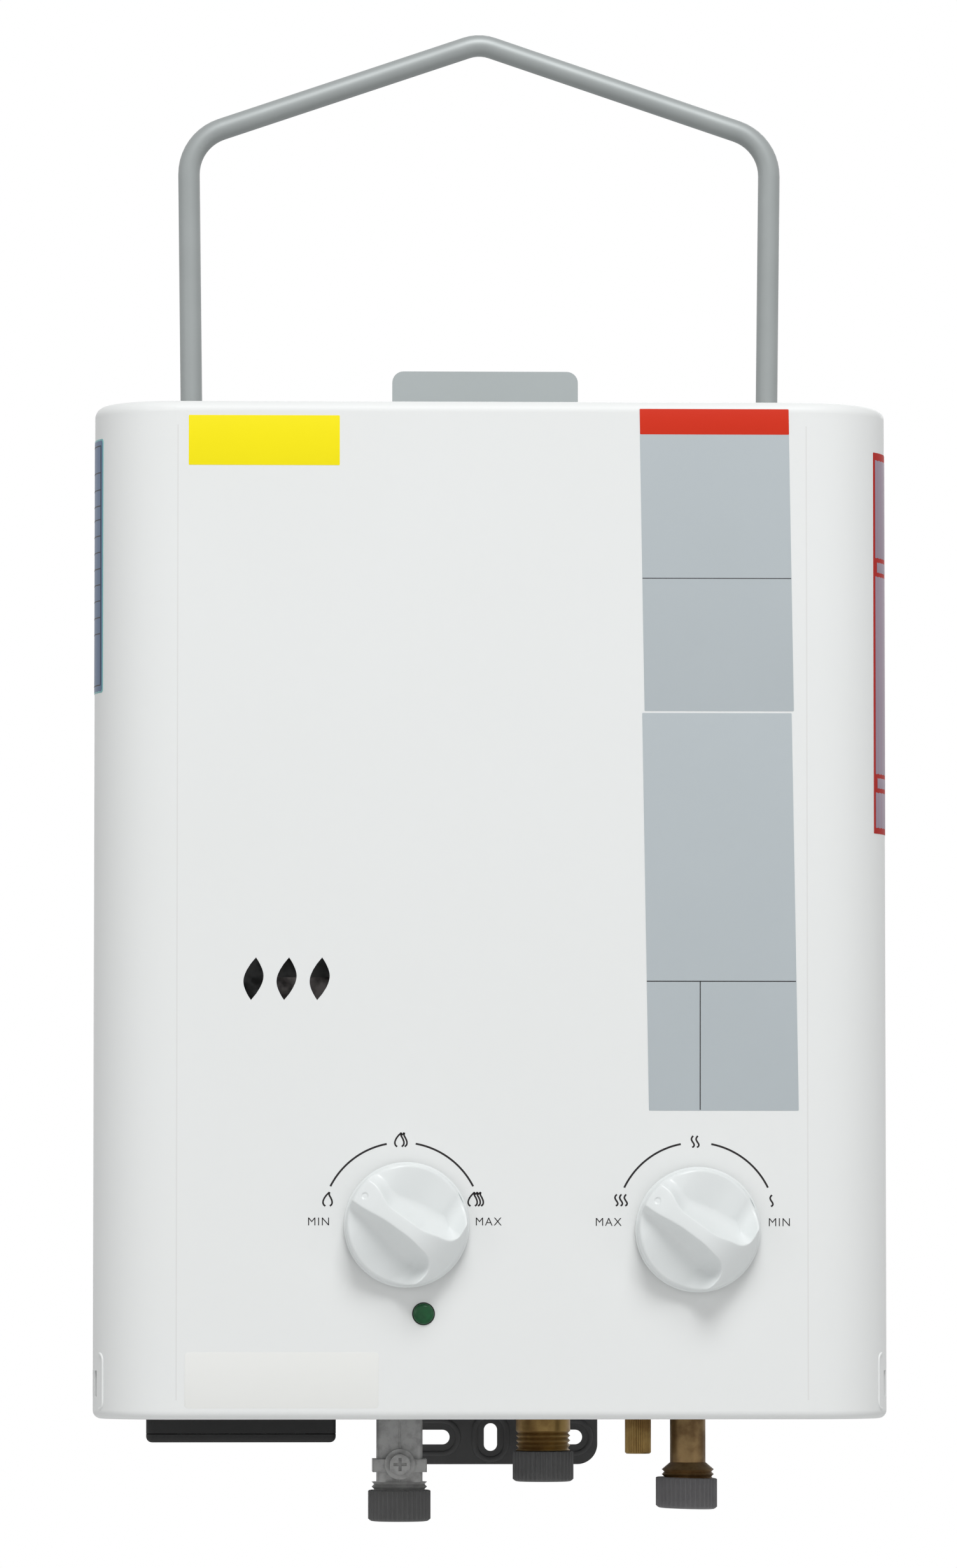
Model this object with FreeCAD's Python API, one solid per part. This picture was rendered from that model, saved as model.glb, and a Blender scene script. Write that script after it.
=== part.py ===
import FreeCAD, Part
import math
import os

# A portable propane water heater: a steel case that hangs on a wall or is carried by its bail handle.
# Everything is modelled in millimetres in the case's own frame: x to the right, y the depth behind the
# front face (towards the wall), z the height above the underside of the case. When a piece is saved it
# moves so that the origin is the centre of the hanging hole, on the wall's face.

Vector = FreeCAD.Vector
PARTS = "parts"

# Shape helpers: edges closer than same_place count as one place; a rib's outline rises, falls and
# reaches its foot at these shares of a pitch; a bevelling cone is bevel_reach radii high
same_place = 0.001
hexagon_sides = 6
rib_rise = 0.22
rib_fall = 0.62
rib_foot = 0.84
bevel_reach = 6

# --- driving dimensions -------------------------------------------------------------------------------
# Case
case_width = 290.0
case_height = 370.0
case_depth = 115.0
corner_radius = 30.0
sheet = 1.0
top_bend = 4.0
bottom_bend = 3.0
seam_gap = 0.3
return_lip = 12.0
tray_lip = 13.0
wall_gap = 14.0

# Holes in the cover
spindle_hole_r = 6.0
leaf_half_width = 3.65
leaf_half_height = 7.75
leaf_lean = 0.9
leaf_shoulder = (0.8, 0.54)
leaf_belly = 0.16
leaf_waist = (0.63, -0.44)
leaf_pitch = 12.0
leaf_count = 3
leaf_x = -74.7
leaf_height = 159.4
side_slot_width = 3.4
side_slot_height = 9.5
side_slot_pitch = 6.2
side_slot_count = 12
side_slot_start = 20.3
side_slot_base = 8.0
side_slot_cut = 5.0
grille_slot_width = 3.6
grille_slot_pitch = 7.2
grille_slot_count = 19
grille_margin = 8.0

# Fasteners
rivet_r = 1.6
rivet_head_r = 3.2
rivet_head = 1.2
rivet_tail_r = 2.4
rivet_tail = 1.0
screw_r = 1.9
screw_head_r = 3.5
screw_head = 1.2
screw_recess = 0.7
screw_length = 9.0
cover_screw_inset = 19.0
cover_screw_depth_inset = 7.0
valve_screw_r = 1.5
valve_screw_head_r = 2.8
valve_screw_head = 2.4
valve_screw_grip = 6.0

# Hanging bracket and lower wall bracket
bracket_sheet = 1.5
bracket_jog = 14.0
bracket_lap = 26.0
tab_width = 70.5
tab_rise = 24.4
tab_x = 1.2
tab_corner = 4.3
hang_hole_r = 3.5
hang_hole_rise = 5.5
slot_plate_width = 80.6
slot_plate_drop = 19.2
slot_plate_corner = 7.6
slot_plate_x = 3.2
slot_drop = 9.0
slot_spacing = 50.0
slot_length = 19.2
slot_r = 2.75
middle_slot_length = 10.4
middle_slot_r = 2.5
rivet_inset = 9.0

# Handle
rod_r = 4.1
handle_x = -1.2
leg_spacing = 216.8
leg_splay = 0.7
handle_rise = 148.1
arm_slope = 18.7
shoulder_bend = 18.0
apex_bend = 15.0
foot_bend = 12.0
pivot_drop = 40.0
ear_sheet = 2.0
ear_gap = 6.0
ear_to_bend = 3.0
stub_past_ear = 4.0
running_gap = 0.05
clip_r = 6.4
clip_sheet = 1.2
clip_gap = 0.3

# Knobs and the places of the two spindles
gas_knob_x = -31.2
gas_knob_height = 70.3
water_knob_x = 74.3
water_knob_height = 68.6
knob_r = 22.7
knob_top_r = 21.6
knob_depth = 19.0
knob_gap = 1.5
knob_edge = 2.0
knob_wall = 3.0
scoop_r = 15.5
grip_half_width = 4.6
scoop_floor = 4.5
scoop_splay = 5.0
pointer_turn = 53.9
spindle_r = 4.0
spindle_tip_r = 3.0
spindle_collar_r = 7.0
spindle_collar = 1.2
flat_depth = 1.0
spindle_reach = 14.0

# Lamp
lamp_x = -25.0
lamp_height = 38.2
lens_r = 3.85
lens_rise = 1.6
lens_depth = 6.0
lamp_clearance = 0.1
holder_r = 5.6
holder_depth = 13.0

# Battery box
cell_r = 16.3
cell_length = 60.5
cell_nub_r = 4.5
cell_nub = 1.0
cell_gap = 0.6
cell_play = 0.3
box_wall = 1.6
box_left = -125.7
box_front = 45.0
box_drop = 9.2
box_collar = 3.0
box_collar_sheet = 1.5
door_sheet = 3.0
door_gap = 0.3
door_corner = 3.0
door_edge = 2.2
contact_sheet = 0.5
contact_size = 14.0
hinge_pin_r = 1.2
hinge_barrel_r = 2.2
hinge_lug = 4.0
hinge_lug_inset = 13.0

# Gas inlet and gas valve
gas_inlet_x = -32.6
fitting_depth = 56.0
neck_side = 16.8
neck_corner = 2.0
neck_bore_r = 5.0
neck_top = 38.0
neck_flange_width = 34.0
neck_flange_depth = 20.0
neck_flange = 4.0
neck_screw_reach = 12.5
flange_bar_top = 15.4
flange_bar = 4.7
flange_bar_side = 19.9
gas_thread_top = 23.8
gas_thread_end = 35.5
gas_thread_r = 10.2
thread_pitch = 1.8
thread_depth = 0.9
test_point_height = 17.2
test_boss_r = 5.6
test_boss = 1.2
test_hex = 7.4
test_head = 2.2
test_shank_r = 1.6
test_shank = 5.0
recess_width = 1.1
recess_reach = 2.4
recess_depth = 1.2
hole_margin = 0.5

valve_left = -50.0
valve_right = 8.0
valve_front = 36.0
valve_back = 74.0
valve_top = 92.0
valve_edge = 3.0
linkage_height = 66.0
poppet_bore_r = 8.0
seat_r = 5.0
seat_x = -8.0
seat_chamber = 8.0
poppet_r = 7.5
poppet_disc = 3.0
poppet_stem_r = 2.4
plug_length = 8.0
plug_hex = 14.0
plug_head = 3.0
spindle_boss_r = 12.0
spindle_boss = 10.0
spindle_seat = 10.0
outlet_left = -12.0
outlet_base = 76.0
outlet_bore_r = 4.0
outlet_channel_height = 84.0
solenoid_r = 11.0
solenoid_length = 24.0
solenoid_x = -30.0
solenoid_height = 64.0

# Push rod, switch and diaphragm
push_rod_r = 3.0
push_travel = 3.0
push_rest_gap = 0.5
rod_tip_x = 3.0
collar_x = 15.6
collar_width = 2.0
collar_r = 6.0
plate_r = 19.0
plate_sheet = 1.7
plate_gap = 0.3
diaphragm_sheet = 2.0
diaphragm_x = 42.0
chamber_r = 27.0
chamber_bore_r = 22.0
cover_roof = 1.5
cover_neck_r = 7.0
cover_neck_start = 26.0
switch_length = 20.0
switch_width = 10.0
switch_base = 80.0
switch_height = 10.0
switch_ear = 1.5
switch_ear_half = 2.0
lever_x = 14.0
lever_height = 78.0
lever_pin_r = 0.8
lever_sheet = 0.8
lever_reach = 7.5
lever_bump_r = 1.2
lever_side_gap = 0.5

# Water valve, cold inlet and drain
water_left = 56.0
water_right = 87.0
water_front = 38.0
water_back = 74.0
water_base = 44.0
water_top = 92.0
chamber_depth = 12.0
chamber_hollow = 8.0
cold_inlet_x = 73.7
cold_tube_r = 6.55
cold_bore_r = 5.2
cold_flare_top = 16.7
cold_flare_bottom = 19.3
cold_thread_r = 9.6
cold_thread_end = 31.8
cold_flange_r = 12.0
cold_flange = 4.0
riser_boss_left = 86.0
riser_boss_right = 109.0
riser_boss_base = 58.0
riser_boss_top = 80.0
riser_depth = 63.0
union_stub_r = 8.0
union_stub = 8.0
union_hex = 22.0
union_nut = 13.0
drain_x = 55.2
drain_depth = 53.0
drain_r = 4.8
drain_bottom = 13.5
drain_head_top = 8.0
drain_stem_r = 3.0
drain_stem_top = 26.0
drain_boss_r = 6.5
drain_boss_base = 11.0
drain_knurls = 36
knurl_depth = 0.25
seal_section = 1.0

# Hot outlet
hot_x = 21.4
hot_depth = 84.0
hot_r = 10.1
hot_thread_top = 5.7
hot_thread_end = 22.0
hot_bore_r = 4.8
hot_body_top = 14.0
hot_hex = 24.0
hot_hex_height = 6.0

# Transport caps
gas_cap_r = 11.5
gas_cap_top = 26.8
gas_cap_bottom = 38.3
hot_cap_r = 11.3
hot_cap_top = 13.2
hot_cap_bottom = 24.5
cold_cap_r = 11.3
cold_cap_top = 22.1
cold_cap_bottom = 33.8
cap_ribs = 36
cap_rib_depth = 0.45
cap_floor = 1.2
cap_fit_gap = 0.3
washer_sheet = 0.8

# Burner
burner_depth = 66.0
burner_to_panel = 18.0
burner_half_width = 93.0
burner_sheet = 1.0
bar_count = 9
bar_pitch = 20.0
bar_head_width = 13.0
bar_head_top = 150.0
bar_head_height = 8.0
bar_neck = 4.0
bar_tube_r = 8.0
bar_tube_wall = 0.8
bar_axis_height = 119.0
bar_mouth_inset = 3.0
bar_end_inset = 8.0
flame_slot = 1.0
flame_slot_count = 12
flame_slot_pitch = 4.8
flame_slot_depth = 3.0
frame_base = 108.0
frame_strip_base = 132.0
frame_ear_base = 110.0
frame_ear_top = 128.0
foot_inner = 60.0
foot_outer = 76.0
foot_base = 120.0
foot_height = 8.0
manifold_side = 12.0
manifold_gap = 4.0
manifold_base = 112.0
manifold_top = 126.0
manifold_leg_left = -12.0
manifold_leg_right = 4.0
nozzle_hex = 7.0
nozzle_base = 3.0
nozzle_tip_r = 1.5
nozzle_tip = 2.0
nozzle_bore_r = 0.5
electrode_xs = (-70.0, -46.0)
electrode_height = 156.0
electrode_r = 2.5
electrode_outside = 16.0
electrode_inside = 14.0
electrode_tip_r = 0.8
electrode_tip = 14.0
electrode_plate_left = -78.0
electrode_plate_right = -38.0
electrode_plate_top = 161.0

# Igniter box
igniter_inset = 5.0
igniter_width = 30.0
igniter_depth = 26.0
igniter_base = 112.0
igniter_height = 60.0
igniter_edge = 2.0

# Combustion chamber, coil, exchanger and hood
chamber_base = 172.0
hood_height = 40.7
shell_height = 44.0
copper_sheet = 0.8
chamber_tab_inner = 50.0
chamber_tab_outer = 70.0
chamber_tab = 6.0
pipe_r = 6.0
pipe_wall = 0.8
pipe_gap = 0.3
pipe_bend = 12.0
coil_first_height = 190.0
coil_lead = 25.0
coil_turns = 3
tube_drop = 23.0
tube_inset = 9.0
tube_pitch = 15.0
tube_count = 4
tube_overhang = 3.0
fin_sheet = 0.6
fin_pitch = 6.0
fin_count = 29
fin_height = 34.0
fin_gap = 2.0
hot_riser_x = 122.0
hot_run_height = 96.0
hood_sheet = 0.8
flue_half_width = 75.0
flue_inset = 8.0
flue_neck = 8.0
overheat_r = 8.0
overheat_depth = 6.0
overheat_x = 40.0

# --- places worked out from the driving dimensions ----------------------------------------------------
half_width = case_width / 2
wall_depth = case_depth + wall_gap
panel_depth = case_depth - sheet
burner_back = panel_depth - burner_to_panel
burner_front = burner_back - burner_depth
bar_tube_start = burner_front + bar_mouth_inset
bar_tube_end = burner_back - bar_end_inset
manifold_back = burner_front - manifold_gap
manifold_front = manifold_back - manifold_side
outlet_front = manifold_front
electrode_front = burner_front - electrode_outside
electrode_back = burner_front + electrode_inside
flue_front = burner_front + flue_inset
flue_back = burner_back - flue_inset
tube_ys = [burner_front + tube_inset + tube * tube_pitch for tube in range(tube_count)]
igniter_left = igniter_inset - half_width
hood_top = case_height - sheet - seam_gap
shell_top = hood_top - hood_height
chamber_top = shell_top - shell_height
tube_height = shell_top - tube_drop
coil_rise = (tube_height - pipe_bend - coil_lead - coil_first_height) / coil_turns
coil_long_rise = coil_rise / 3
coil_short_rise = coil_rise / 6
tray_edge = sheet + seam_gap
shelf_base = tray_edge + sheet
shelf_top = shelf_base + sheet
tab_top = case_height + tab_rise
hang_height = case_height + hang_hole_rise
pivot_height = case_height - pivot_drop
pivot_depth = case_depth + wall_gap / 2
leg_x = leg_spacing / 2
apex_height = case_height + handle_rise
outer_ear_x = leg_x - foot_bend - ear_to_bend
inner_ear_x = outer_ear_x - ear_sheet - ear_gap - ear_sheet
origin = Vector(0, wall_depth, hang_height)


# --- shapes -------------------------------------------------------------------------------------------
def save(node, shape):
    """Moves a piece so that the hanging hole is the origin, and writes it as one STEP file."""
    moved = shape.translated(Vector(0, 0, 0) - origin)
    moved.exportStep(os.path.join(PARTS, node + ".step"))
    return shape


def box(x0, x1, y0, y1, z0, z1):
    """A block between two corners."""
    return Part.makeBox(x1 - x0, y1 - y0, z1 - z0, Vector(x0, y0, z0))


def rod_x(radius, x0, x1, y, z):
    """A round bar along x."""
    return Part.makeCylinder(radius, x1 - x0, Vector(x0, y, z), Vector(1, 0, 0))


def rod_y(radius, y0, y1, x, z):
    """A round bar along y."""
    return Part.makeCylinder(radius, y1 - y0, Vector(x, y0, z), Vector(0, 1, 0))


def rod_z(radius, z0, z1, x, y):
    """A round bar along z."""
    return Part.makeCylinder(radius, z1 - z0, Vector(x, y, z0), Vector(0, 0, 1))


def joined(shapes):
    """One solid from pieces that overlap or touch."""
    whole = shapes[0]
    if len(shapes) > 1:
        whole = whole.fuse(shapes[1:])
    return whole.removeSplitter()


def without(shape, cutters):
    """A shape less everything in the list."""
    for cutter in cutters:
        shape = shape.cut(cutter)
    return shape


def hexagon_z(across_flats, z0, z1, x, y):
    """A six-sided bar along z."""
    corner = across_flats / math.sqrt(3)
    ring = []
    for side in range(hexagon_sides + 1):
        angle = 2 * math.pi * (side + 0.5) / hexagon_sides
        ring.append(Vector(x + corner * math.cos(angle), y + corner * math.sin(angle), z0))
    return Part.Face(Part.makePolygon(ring)).extrude(Vector(0, 0, z1 - z0))


def hexagon_y(across_flats, y0, y1, x, z):
    """A six-sided bar along y."""
    bar = hexagon_z(across_flats, 0, y1 - y0, 0, 0)
    bar.rotate(Vector(0, 0, 0), Vector(1, 0, 0), -90)
    return bar.translated(Vector(x, y0, z))


def hexagon_x(across_flats, x0, x1, y, z):
    """A six-sided bar along x."""
    bar = hexagon_z(across_flats, 0, x1 - x0, 0, 0)
    bar.rotate(Vector(0, 0, 0), Vector(0, 1, 0), 90)
    return bar.translated(Vector(x0, y, z))


def turned(profile, x, y):
    """A turned piece: the (radius, height) outline goes once round a vertical axis at x, y."""
    points = [Vector(x + radius, y, height) for radius, height in profile]
    points.append(points[0])
    return Part.Face(Part.makePolygon(points)).revolve(Vector(x, y, 0), Vector(0, 0, 1), 360)


def threaded_outline(crest, top, end):
    """(radius, height) points down an outside thread, as a row of V grooves ending in a chamfer."""
    points = [(crest, top)]
    height = top
    while height - thread_pitch > end + thread_depth:
        points.append((crest - thread_depth, height - thread_pitch / 2))
        points.append((crest, height - thread_pitch))
        height = height - thread_pitch
    points.append((crest - thread_depth, end))
    return points


def ribbed_bar(crest, depth, ribs, z0, z1, x, y):
    """A round bar along z with straight ribs: its outline steps between two radii."""
    foot = crest - depth
    ring = []
    step = 2 * math.pi / ribs
    for rib in range(ribs):
        for share, radius in ((0, foot), (rib_rise, crest), (rib_fall, crest), (rib_foot, foot)):
            angle = (rib + share) * step
            ring.append(Vector(x + radius * math.cos(angle), y + radius * math.sin(angle), z0))
    ring.append(ring[0])
    return Part.Face(Part.makePolygon(ring)).extrude(Vector(0, 0, z1 - z0))


def chamfer_cone(radius, chamfer, x, y, z):
    """An upward cone at 45 degrees that bevels the lower rim of a round bar."""
    reach = bevel_reach * radius
    return Part.makeCone(radius - chamfer, radius - chamfer + reach, reach, Vector(x, y, z), Vector(0, 0, 1))


def slot_y(length, radius, along, x, z, y0, y1):
    """A round-ended slot that runs through along y; along is the slot's own direction, 'x' or 'z'."""
    reach = length / 2 - radius
    if along == "x":
        middle = box(x - reach, x + reach, y0, y1, z - radius, z + radius)
        ends = [rod_y(radius, y0, y1, x - reach, z), rod_y(radius, y0, y1, x + reach, z)]
    else:
        middle = box(x - radius, x + radius, y0, y1, z - reach, z + reach)
        ends = [rod_y(radius, y0, y1, x, z - reach), rod_y(radius, y0, y1, x, z + reach)]
    return joined([middle] + ends)


def route(points, bends):
    """A wire of straight runs through the points, with a tangent arc of its own radius at each bend."""
    edges = []
    start = points[0]
    for index, radius in enumerate(bends):
        corner = points[index + 1]
        back = (points[index] - corner).normalize()
        ahead = (points[index + 2] - corner).normalize()
        half_angle = back.getAngle(ahead) / 2
        reach = radius / math.tan(half_angle)
        first = corner + back * reach
        last = corner + ahead * reach
        middle_way = (back + ahead).normalize()
        centre = corner + middle_way * (radius / math.sin(half_angle))
        middle = centre - middle_way * radius
        edges.append(Part.LineSegment(start, first).toShape())
        edges.append(Part.Arc(first, middle, last).toShape())
        start = last
    edges.append(Part.LineSegment(start, points[-1]).toShape())
    return Part.Wire(edges)


def swept(points, bends, radius):
    """A round bar along a route."""
    path = route(points, bends)
    ahead = (points[1] - points[0]).normalize()
    ring = Part.Wire([Part.makeCircle(radius, points[0], ahead)])
    return path.makePipeShell([ring], True, False)


def pipe(points, bends):
    """A copper pipe along a route."""
    return swept(points, bends, pipe_r).cut(swept(points, bends, pipe_r - pipe_wall))


def plan_block(half, front, back, radius, z0, z1):
    """A block with the case's plan: square at the back and round at the two front corners."""
    bow = radius * (1 - math.sqrt(0.5))
    left_arc = Part.Arc(
        Vector(-half, front + radius, z0),
        Vector(-half + bow, front + bow, z0),
        Vector(-half + radius, front, z0),
    )
    right_arc = Part.Arc(
        Vector(half - radius, front, z0),
        Vector(half - bow, front + bow, z0),
        Vector(half, front + radius, z0),
    )
    edges = [
        Part.LineSegment(Vector(-half, back, z0), Vector(-half, front + radius, z0)).toShape(),
        left_arc.toShape(),
        Part.LineSegment(Vector(-half + radius, front, z0), Vector(half - radius, front, z0)).toShape(),
        right_arc.toShape(),
        Part.LineSegment(Vector(half, front + radius, z0), Vector(half, back, z0)).toShape(),
        Part.LineSegment(Vector(half, back, z0), Vector(-half, back, z0)).toShape(),
    ]
    return Part.Face(Part.Wire(edges)).extrude(Vector(0, 0, z1 - z0))


def bent_rim(block, height, back, radius):
    """Rounds a block's rim at one height, except along its back."""
    rim = []
    for edge in block.Edges:
        bounds = edge.BoundBox
        level = abs(bounds.ZMin - height) < same_place and abs(bounds.ZMax - height) < same_place
        if level and bounds.YMin < back - same_place:
            rim.append(edge)
    return block.makeFillet(radius, rim)


def rounded_edges(shape, radius, direction):
    """Rounds a block's straight edges that run along one axis, 0 for x, 1 for y and 2 for z."""
    chosen = []
    for edge in shape.Edges:
        bounds = edge.BoundBox
        lengths = [bounds.XLength, bounds.YLength, bounds.ZLength]
        if lengths[direction] > same_place and sum(lengths) - lengths[direction] < same_place:
            chosen.append(edge)
    return shape.makeFillet(radius, chosen)


def leaf_hole(x, z):
    """A flame-shaped hole through the front: two curves that meet in points, the same upside down."""
    side = [
        (leaf_lean, leaf_half_height),
        (leaf_half_width * leaf_shoulder[0], leaf_half_height * leaf_shoulder[1]),
        (leaf_half_width, leaf_half_height * leaf_belly),
        (leaf_half_width * leaf_waist[0], leaf_half_height * leaf_waist[1]),
        (-leaf_lean, -leaf_half_height),
    ]
    curves = []
    for turn in (1, -1):
        curve = Part.BSplineCurve()
        curve.interpolate([Vector(x + turn * across, -sheet, z + turn * up) for across, up in side])
        curves.append(curve.toShape())
    return Part.Face(Part.Wire(curves)).extrude(Vector(0, 3 * sheet, 0))


def rivet_y(x, z, front, back, head_at_back=True):
    """A pop rivet along y whose shank fills its hole from front to back."""
    shank = rod_y(rivet_r, front, back, x, z)
    if head_at_back:
        head = rod_y(rivet_head_r, back, back + rivet_head, x, z)
        tail = rod_y(rivet_tail_r, front - rivet_tail, front, x, z)
    else:
        head = rod_y(rivet_head_r, front - rivet_head, front, x, z)
        tail = rod_y(rivet_tail_r, back, back + rivet_tail, x, z)
    return joined([shank, head, tail])


def rivet_z(x, y, base, top):
    """A pop rivet along z with its head on top."""
    shank = rod_z(rivet_r, base, top, x, y)
    head = rod_z(rivet_head_r, top, top + rivet_head, x, y)
    tail = rod_z(rivet_tail_r, base - rivet_tail, base, x, y)
    return joined([shank, head, tail])


# --- where the rivets go ------------------------------------------------------------------------------
hang_rivet_height = case_height - bracket_jog - bracket_lap / 2
hang_rivets = [(tab_x + side * (tab_width / 2 - rivet_inset), hang_rivet_height) for side in (-1, 1)]
lower_rivet_height = bracket_jog + bracket_lap / 2
lower_rivets = []
for side in (-1, 1):
    lower_rivets.append((slot_plate_x + side * (slot_plate_width / 2 - rivet_inset), lower_rivet_height))
ear_middle_x = (outer_ear_x + inner_ear_x) / 2
ear_rivet_reach = wall_gap / 2 + rivet_head_r + 2 * rivet_tail
ear_rivets = []
for side in (-1, 1):
    for step in (-1, 1):
        ear_rivets.append((handle_x + side * ear_middle_x, pivot_height + step * ear_rivet_reach))
shelf_rivet_y = case_depth - tray_lip / 2
shelf_rivet_xs = [side * share * half_width for side in (-1, 1) for share in (0.35, 0.8)]
grille_half_width = flue_half_width + grille_margin
grille_front = flue_front - grille_margin
grille_back = flue_back + grille_margin
grille_rivets = []
for side in (-1, 1):
    for row in (grille_front + grille_margin / 2, grille_back - grille_margin / 2):
        grille_rivets.append((side * (grille_half_width - grille_margin / 2), row))


# --- case ---------------------------------------------------------------------------------------------
def front_cover():
    """One sheet bent round the front, the sides, the top and a narrow lip underneath."""
    outer = plan_block(half_width, 0, case_depth, corner_radius, 0, case_height)
    outer = bent_rim(outer, case_height, case_depth, top_bend)
    outer = bent_rim(outer, 0, case_depth, bottom_bend)
    back = case_depth + sheet
    inner = plan_block(
        half_width - sheet, sheet, back, corner_radius - sheet, sheet, case_height - sheet
    )
    inner = bent_rim(inner, case_height - sheet, back, top_bend - sheet)
    inner = bent_rim(inner, sheet, back, bottom_bend - sheet)
    lip = half_width - return_lip
    cutters = [inner, box(-lip, lip, return_lip, back, -sheet, 2 * sheet)]
    cutters.append(rod_y(spindle_hole_r, -sheet, 2 * sheet, gas_knob_x, gas_knob_height))
    cutters.append(rod_y(spindle_hole_r, -sheet, 2 * sheet, water_knob_x, water_knob_height))
    cutters.append(rod_y(lens_r + lamp_clearance, -sheet, 2 * sheet, lamp_x, lamp_height))
    cutters.append(
        box(box_left - hole_margin, box_left + box_width() + hole_margin, box_front - hole_margin,
            case_depth + sheet, -sheet, 2 * sheet)
    )
    for leaf in range(leaf_count):
        across = (leaf - (leaf_count - 1) / 2) * leaf_pitch
        cutters.append(leaf_hole(leaf_x + across, leaf_height))
    cutters.append(
        box(-flue_half_width, flue_half_width, flue_front, flue_back,
            case_height - 2 * sheet, case_height + sheet)
    )
    for x, y in grille_rivets:
        cutters.append(rod_z(rivet_r, case_height - 2 * sheet, case_height + sheet, x, y))
    inner = half_width - side_slot_cut
    for x0, x1 in ((-half_width - sheet, -inner), (inner, half_width + sheet)):
        for slot in range(side_slot_count):
            y0 = side_slot_start + slot * side_slot_pitch
            cutters.append(
                box(x0, x1, y0, y0 + side_slot_width, side_slot_base, side_slot_base + side_slot_height)
            )
        for z in (cover_screw_inset, case_height - cover_screw_inset):
            cutters.append(rod_x(screw_r, x0, x1, case_depth - cover_screw_depth_inset, z))
    return without(outer, cutters)


def flue_grille():
    """Slotted stainless plate over the exhaust opening."""
    plate = box(-grille_half_width, grille_half_width, grille_front, grille_back,
                case_height, case_height + sheet)
    plate = rounded_edges(plate, grille_margin / 2, 2)
    cutters = []
    for slot in range(grille_slot_count):
        x = (slot - (grille_slot_count - 1) / 2) * grille_slot_pitch
        cutters.append(
            box(x - grille_slot_width / 2, x + grille_slot_width / 2,
                flue_front, flue_back, case_height - sheet, case_height + 2 * sheet)
        )
    for x, y in grille_rivets:
        cutters.append(rod_z(rivet_r, case_height - sheet, case_height + 2 * sheet, x, y))
    return without(plate, cutters)


def back_plate():
    """Shallow tray that closes the back and slides inside the cover."""
    half = half_width - tray_edge
    top = case_height - tray_edge
    tray = box(-half, half, case_depth - tray_lip, case_depth, tray_edge, top)
    tray = rounded_edges(tray, top_bend - sheet, 1)
    hollow = box(-half + sheet, half - sheet, case_depth - tray_lip - sheet, panel_depth,
                 tray_edge + sheet, top - sheet)
    hollow = rounded_edges(hollow, top_bend - 2 * sheet, 1)
    cutters = [hollow]
    for x, z in hang_rivets + lower_rivets + ear_rivets:
        cutters.append(rod_y(rivet_r, panel_depth - sheet, case_depth + sheet, x, z))
    cutters.append(rod_z(hot_r + hole_margin, tray_edge - sheet, tray_edge + 2 * sheet, hot_x, hot_depth))
    for x in shelf_rivet_xs:
        cutters.append(rod_z(rivet_r, tray_edge - sheet, tray_edge + 2 * sheet, x, shelf_rivet_y))
    for x0, x1 in ((-half - sheet, -half + 2 * sheet), (half - 2 * sheet, half + sheet)):
        for z in (cover_screw_inset, case_height - cover_screw_inset):
            cutters.append(rod_x(screw_r, x0, x1, case_depth - cover_screw_depth_inset, z))
    return without(tray, cutters)


def bottom_plate():
    """Shelf across the bottom of the case, with a hole for everything that passes through it."""
    inset = tray_edge + top_bend - sheet
    plate = plan_block(half_width - inset, inset, panel_depth, corner_radius - inset,
                       shelf_base, shelf_top)
    low = shelf_base - sheet
    high = shelf_top + sheet
    neck = neck_side / 2 + hole_margin
    cutters = [
        box(box_left - door_gap, box_left + box_width() + door_gap,
            box_front - door_gap, box_front + box_depth() + door_gap, low, high),
        box(gas_inlet_x - neck, gas_inlet_x + neck, fitting_depth - neck, fitting_depth + neck, low, high),
        rod_z(hot_r + hole_margin, low, high, hot_x, hot_depth),
        rod_z(drain_r + hole_margin, low, high, drain_x, drain_depth),
        rod_z(cold_tube_r + hole_margin, low, high, cold_inlet_x, fitting_depth),
    ]
    for x in shelf_rivet_xs:
        cutters.append(rod_z(rivet_r, low, high, x, shelf_rivet_y))
    for slot in range(grille_slot_count):
        x = (slot - (grille_slot_count - 1) / 2) * 2 * grille_slot_pitch
        if abs(x) < half_width - corner_radius:
            cutters.append(
                box(x - grille_slot_width / 2, x + grille_slot_width / 2,
                    return_lip, corner_radius, low, high)
            )
    return without(plate, cutters)


def case_rivets():
    """Every pop rivet of the case, all the same size."""
    rivets = []
    for x, z in hang_rivets + lower_rivets + ear_rivets:
        rivets.append(rivet_y(x, z, panel_depth, case_depth + bracket_sheet))
    for x in shelf_rivet_xs:
        rivets.append(rivet_z(x, shelf_rivet_y, tray_edge, shelf_top))
    for x, y in grille_rivets:
        rivets.append(rivet_z(x, y, case_height - sheet, case_height + sheet))
    return Part.makeCompound(rivets)


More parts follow.
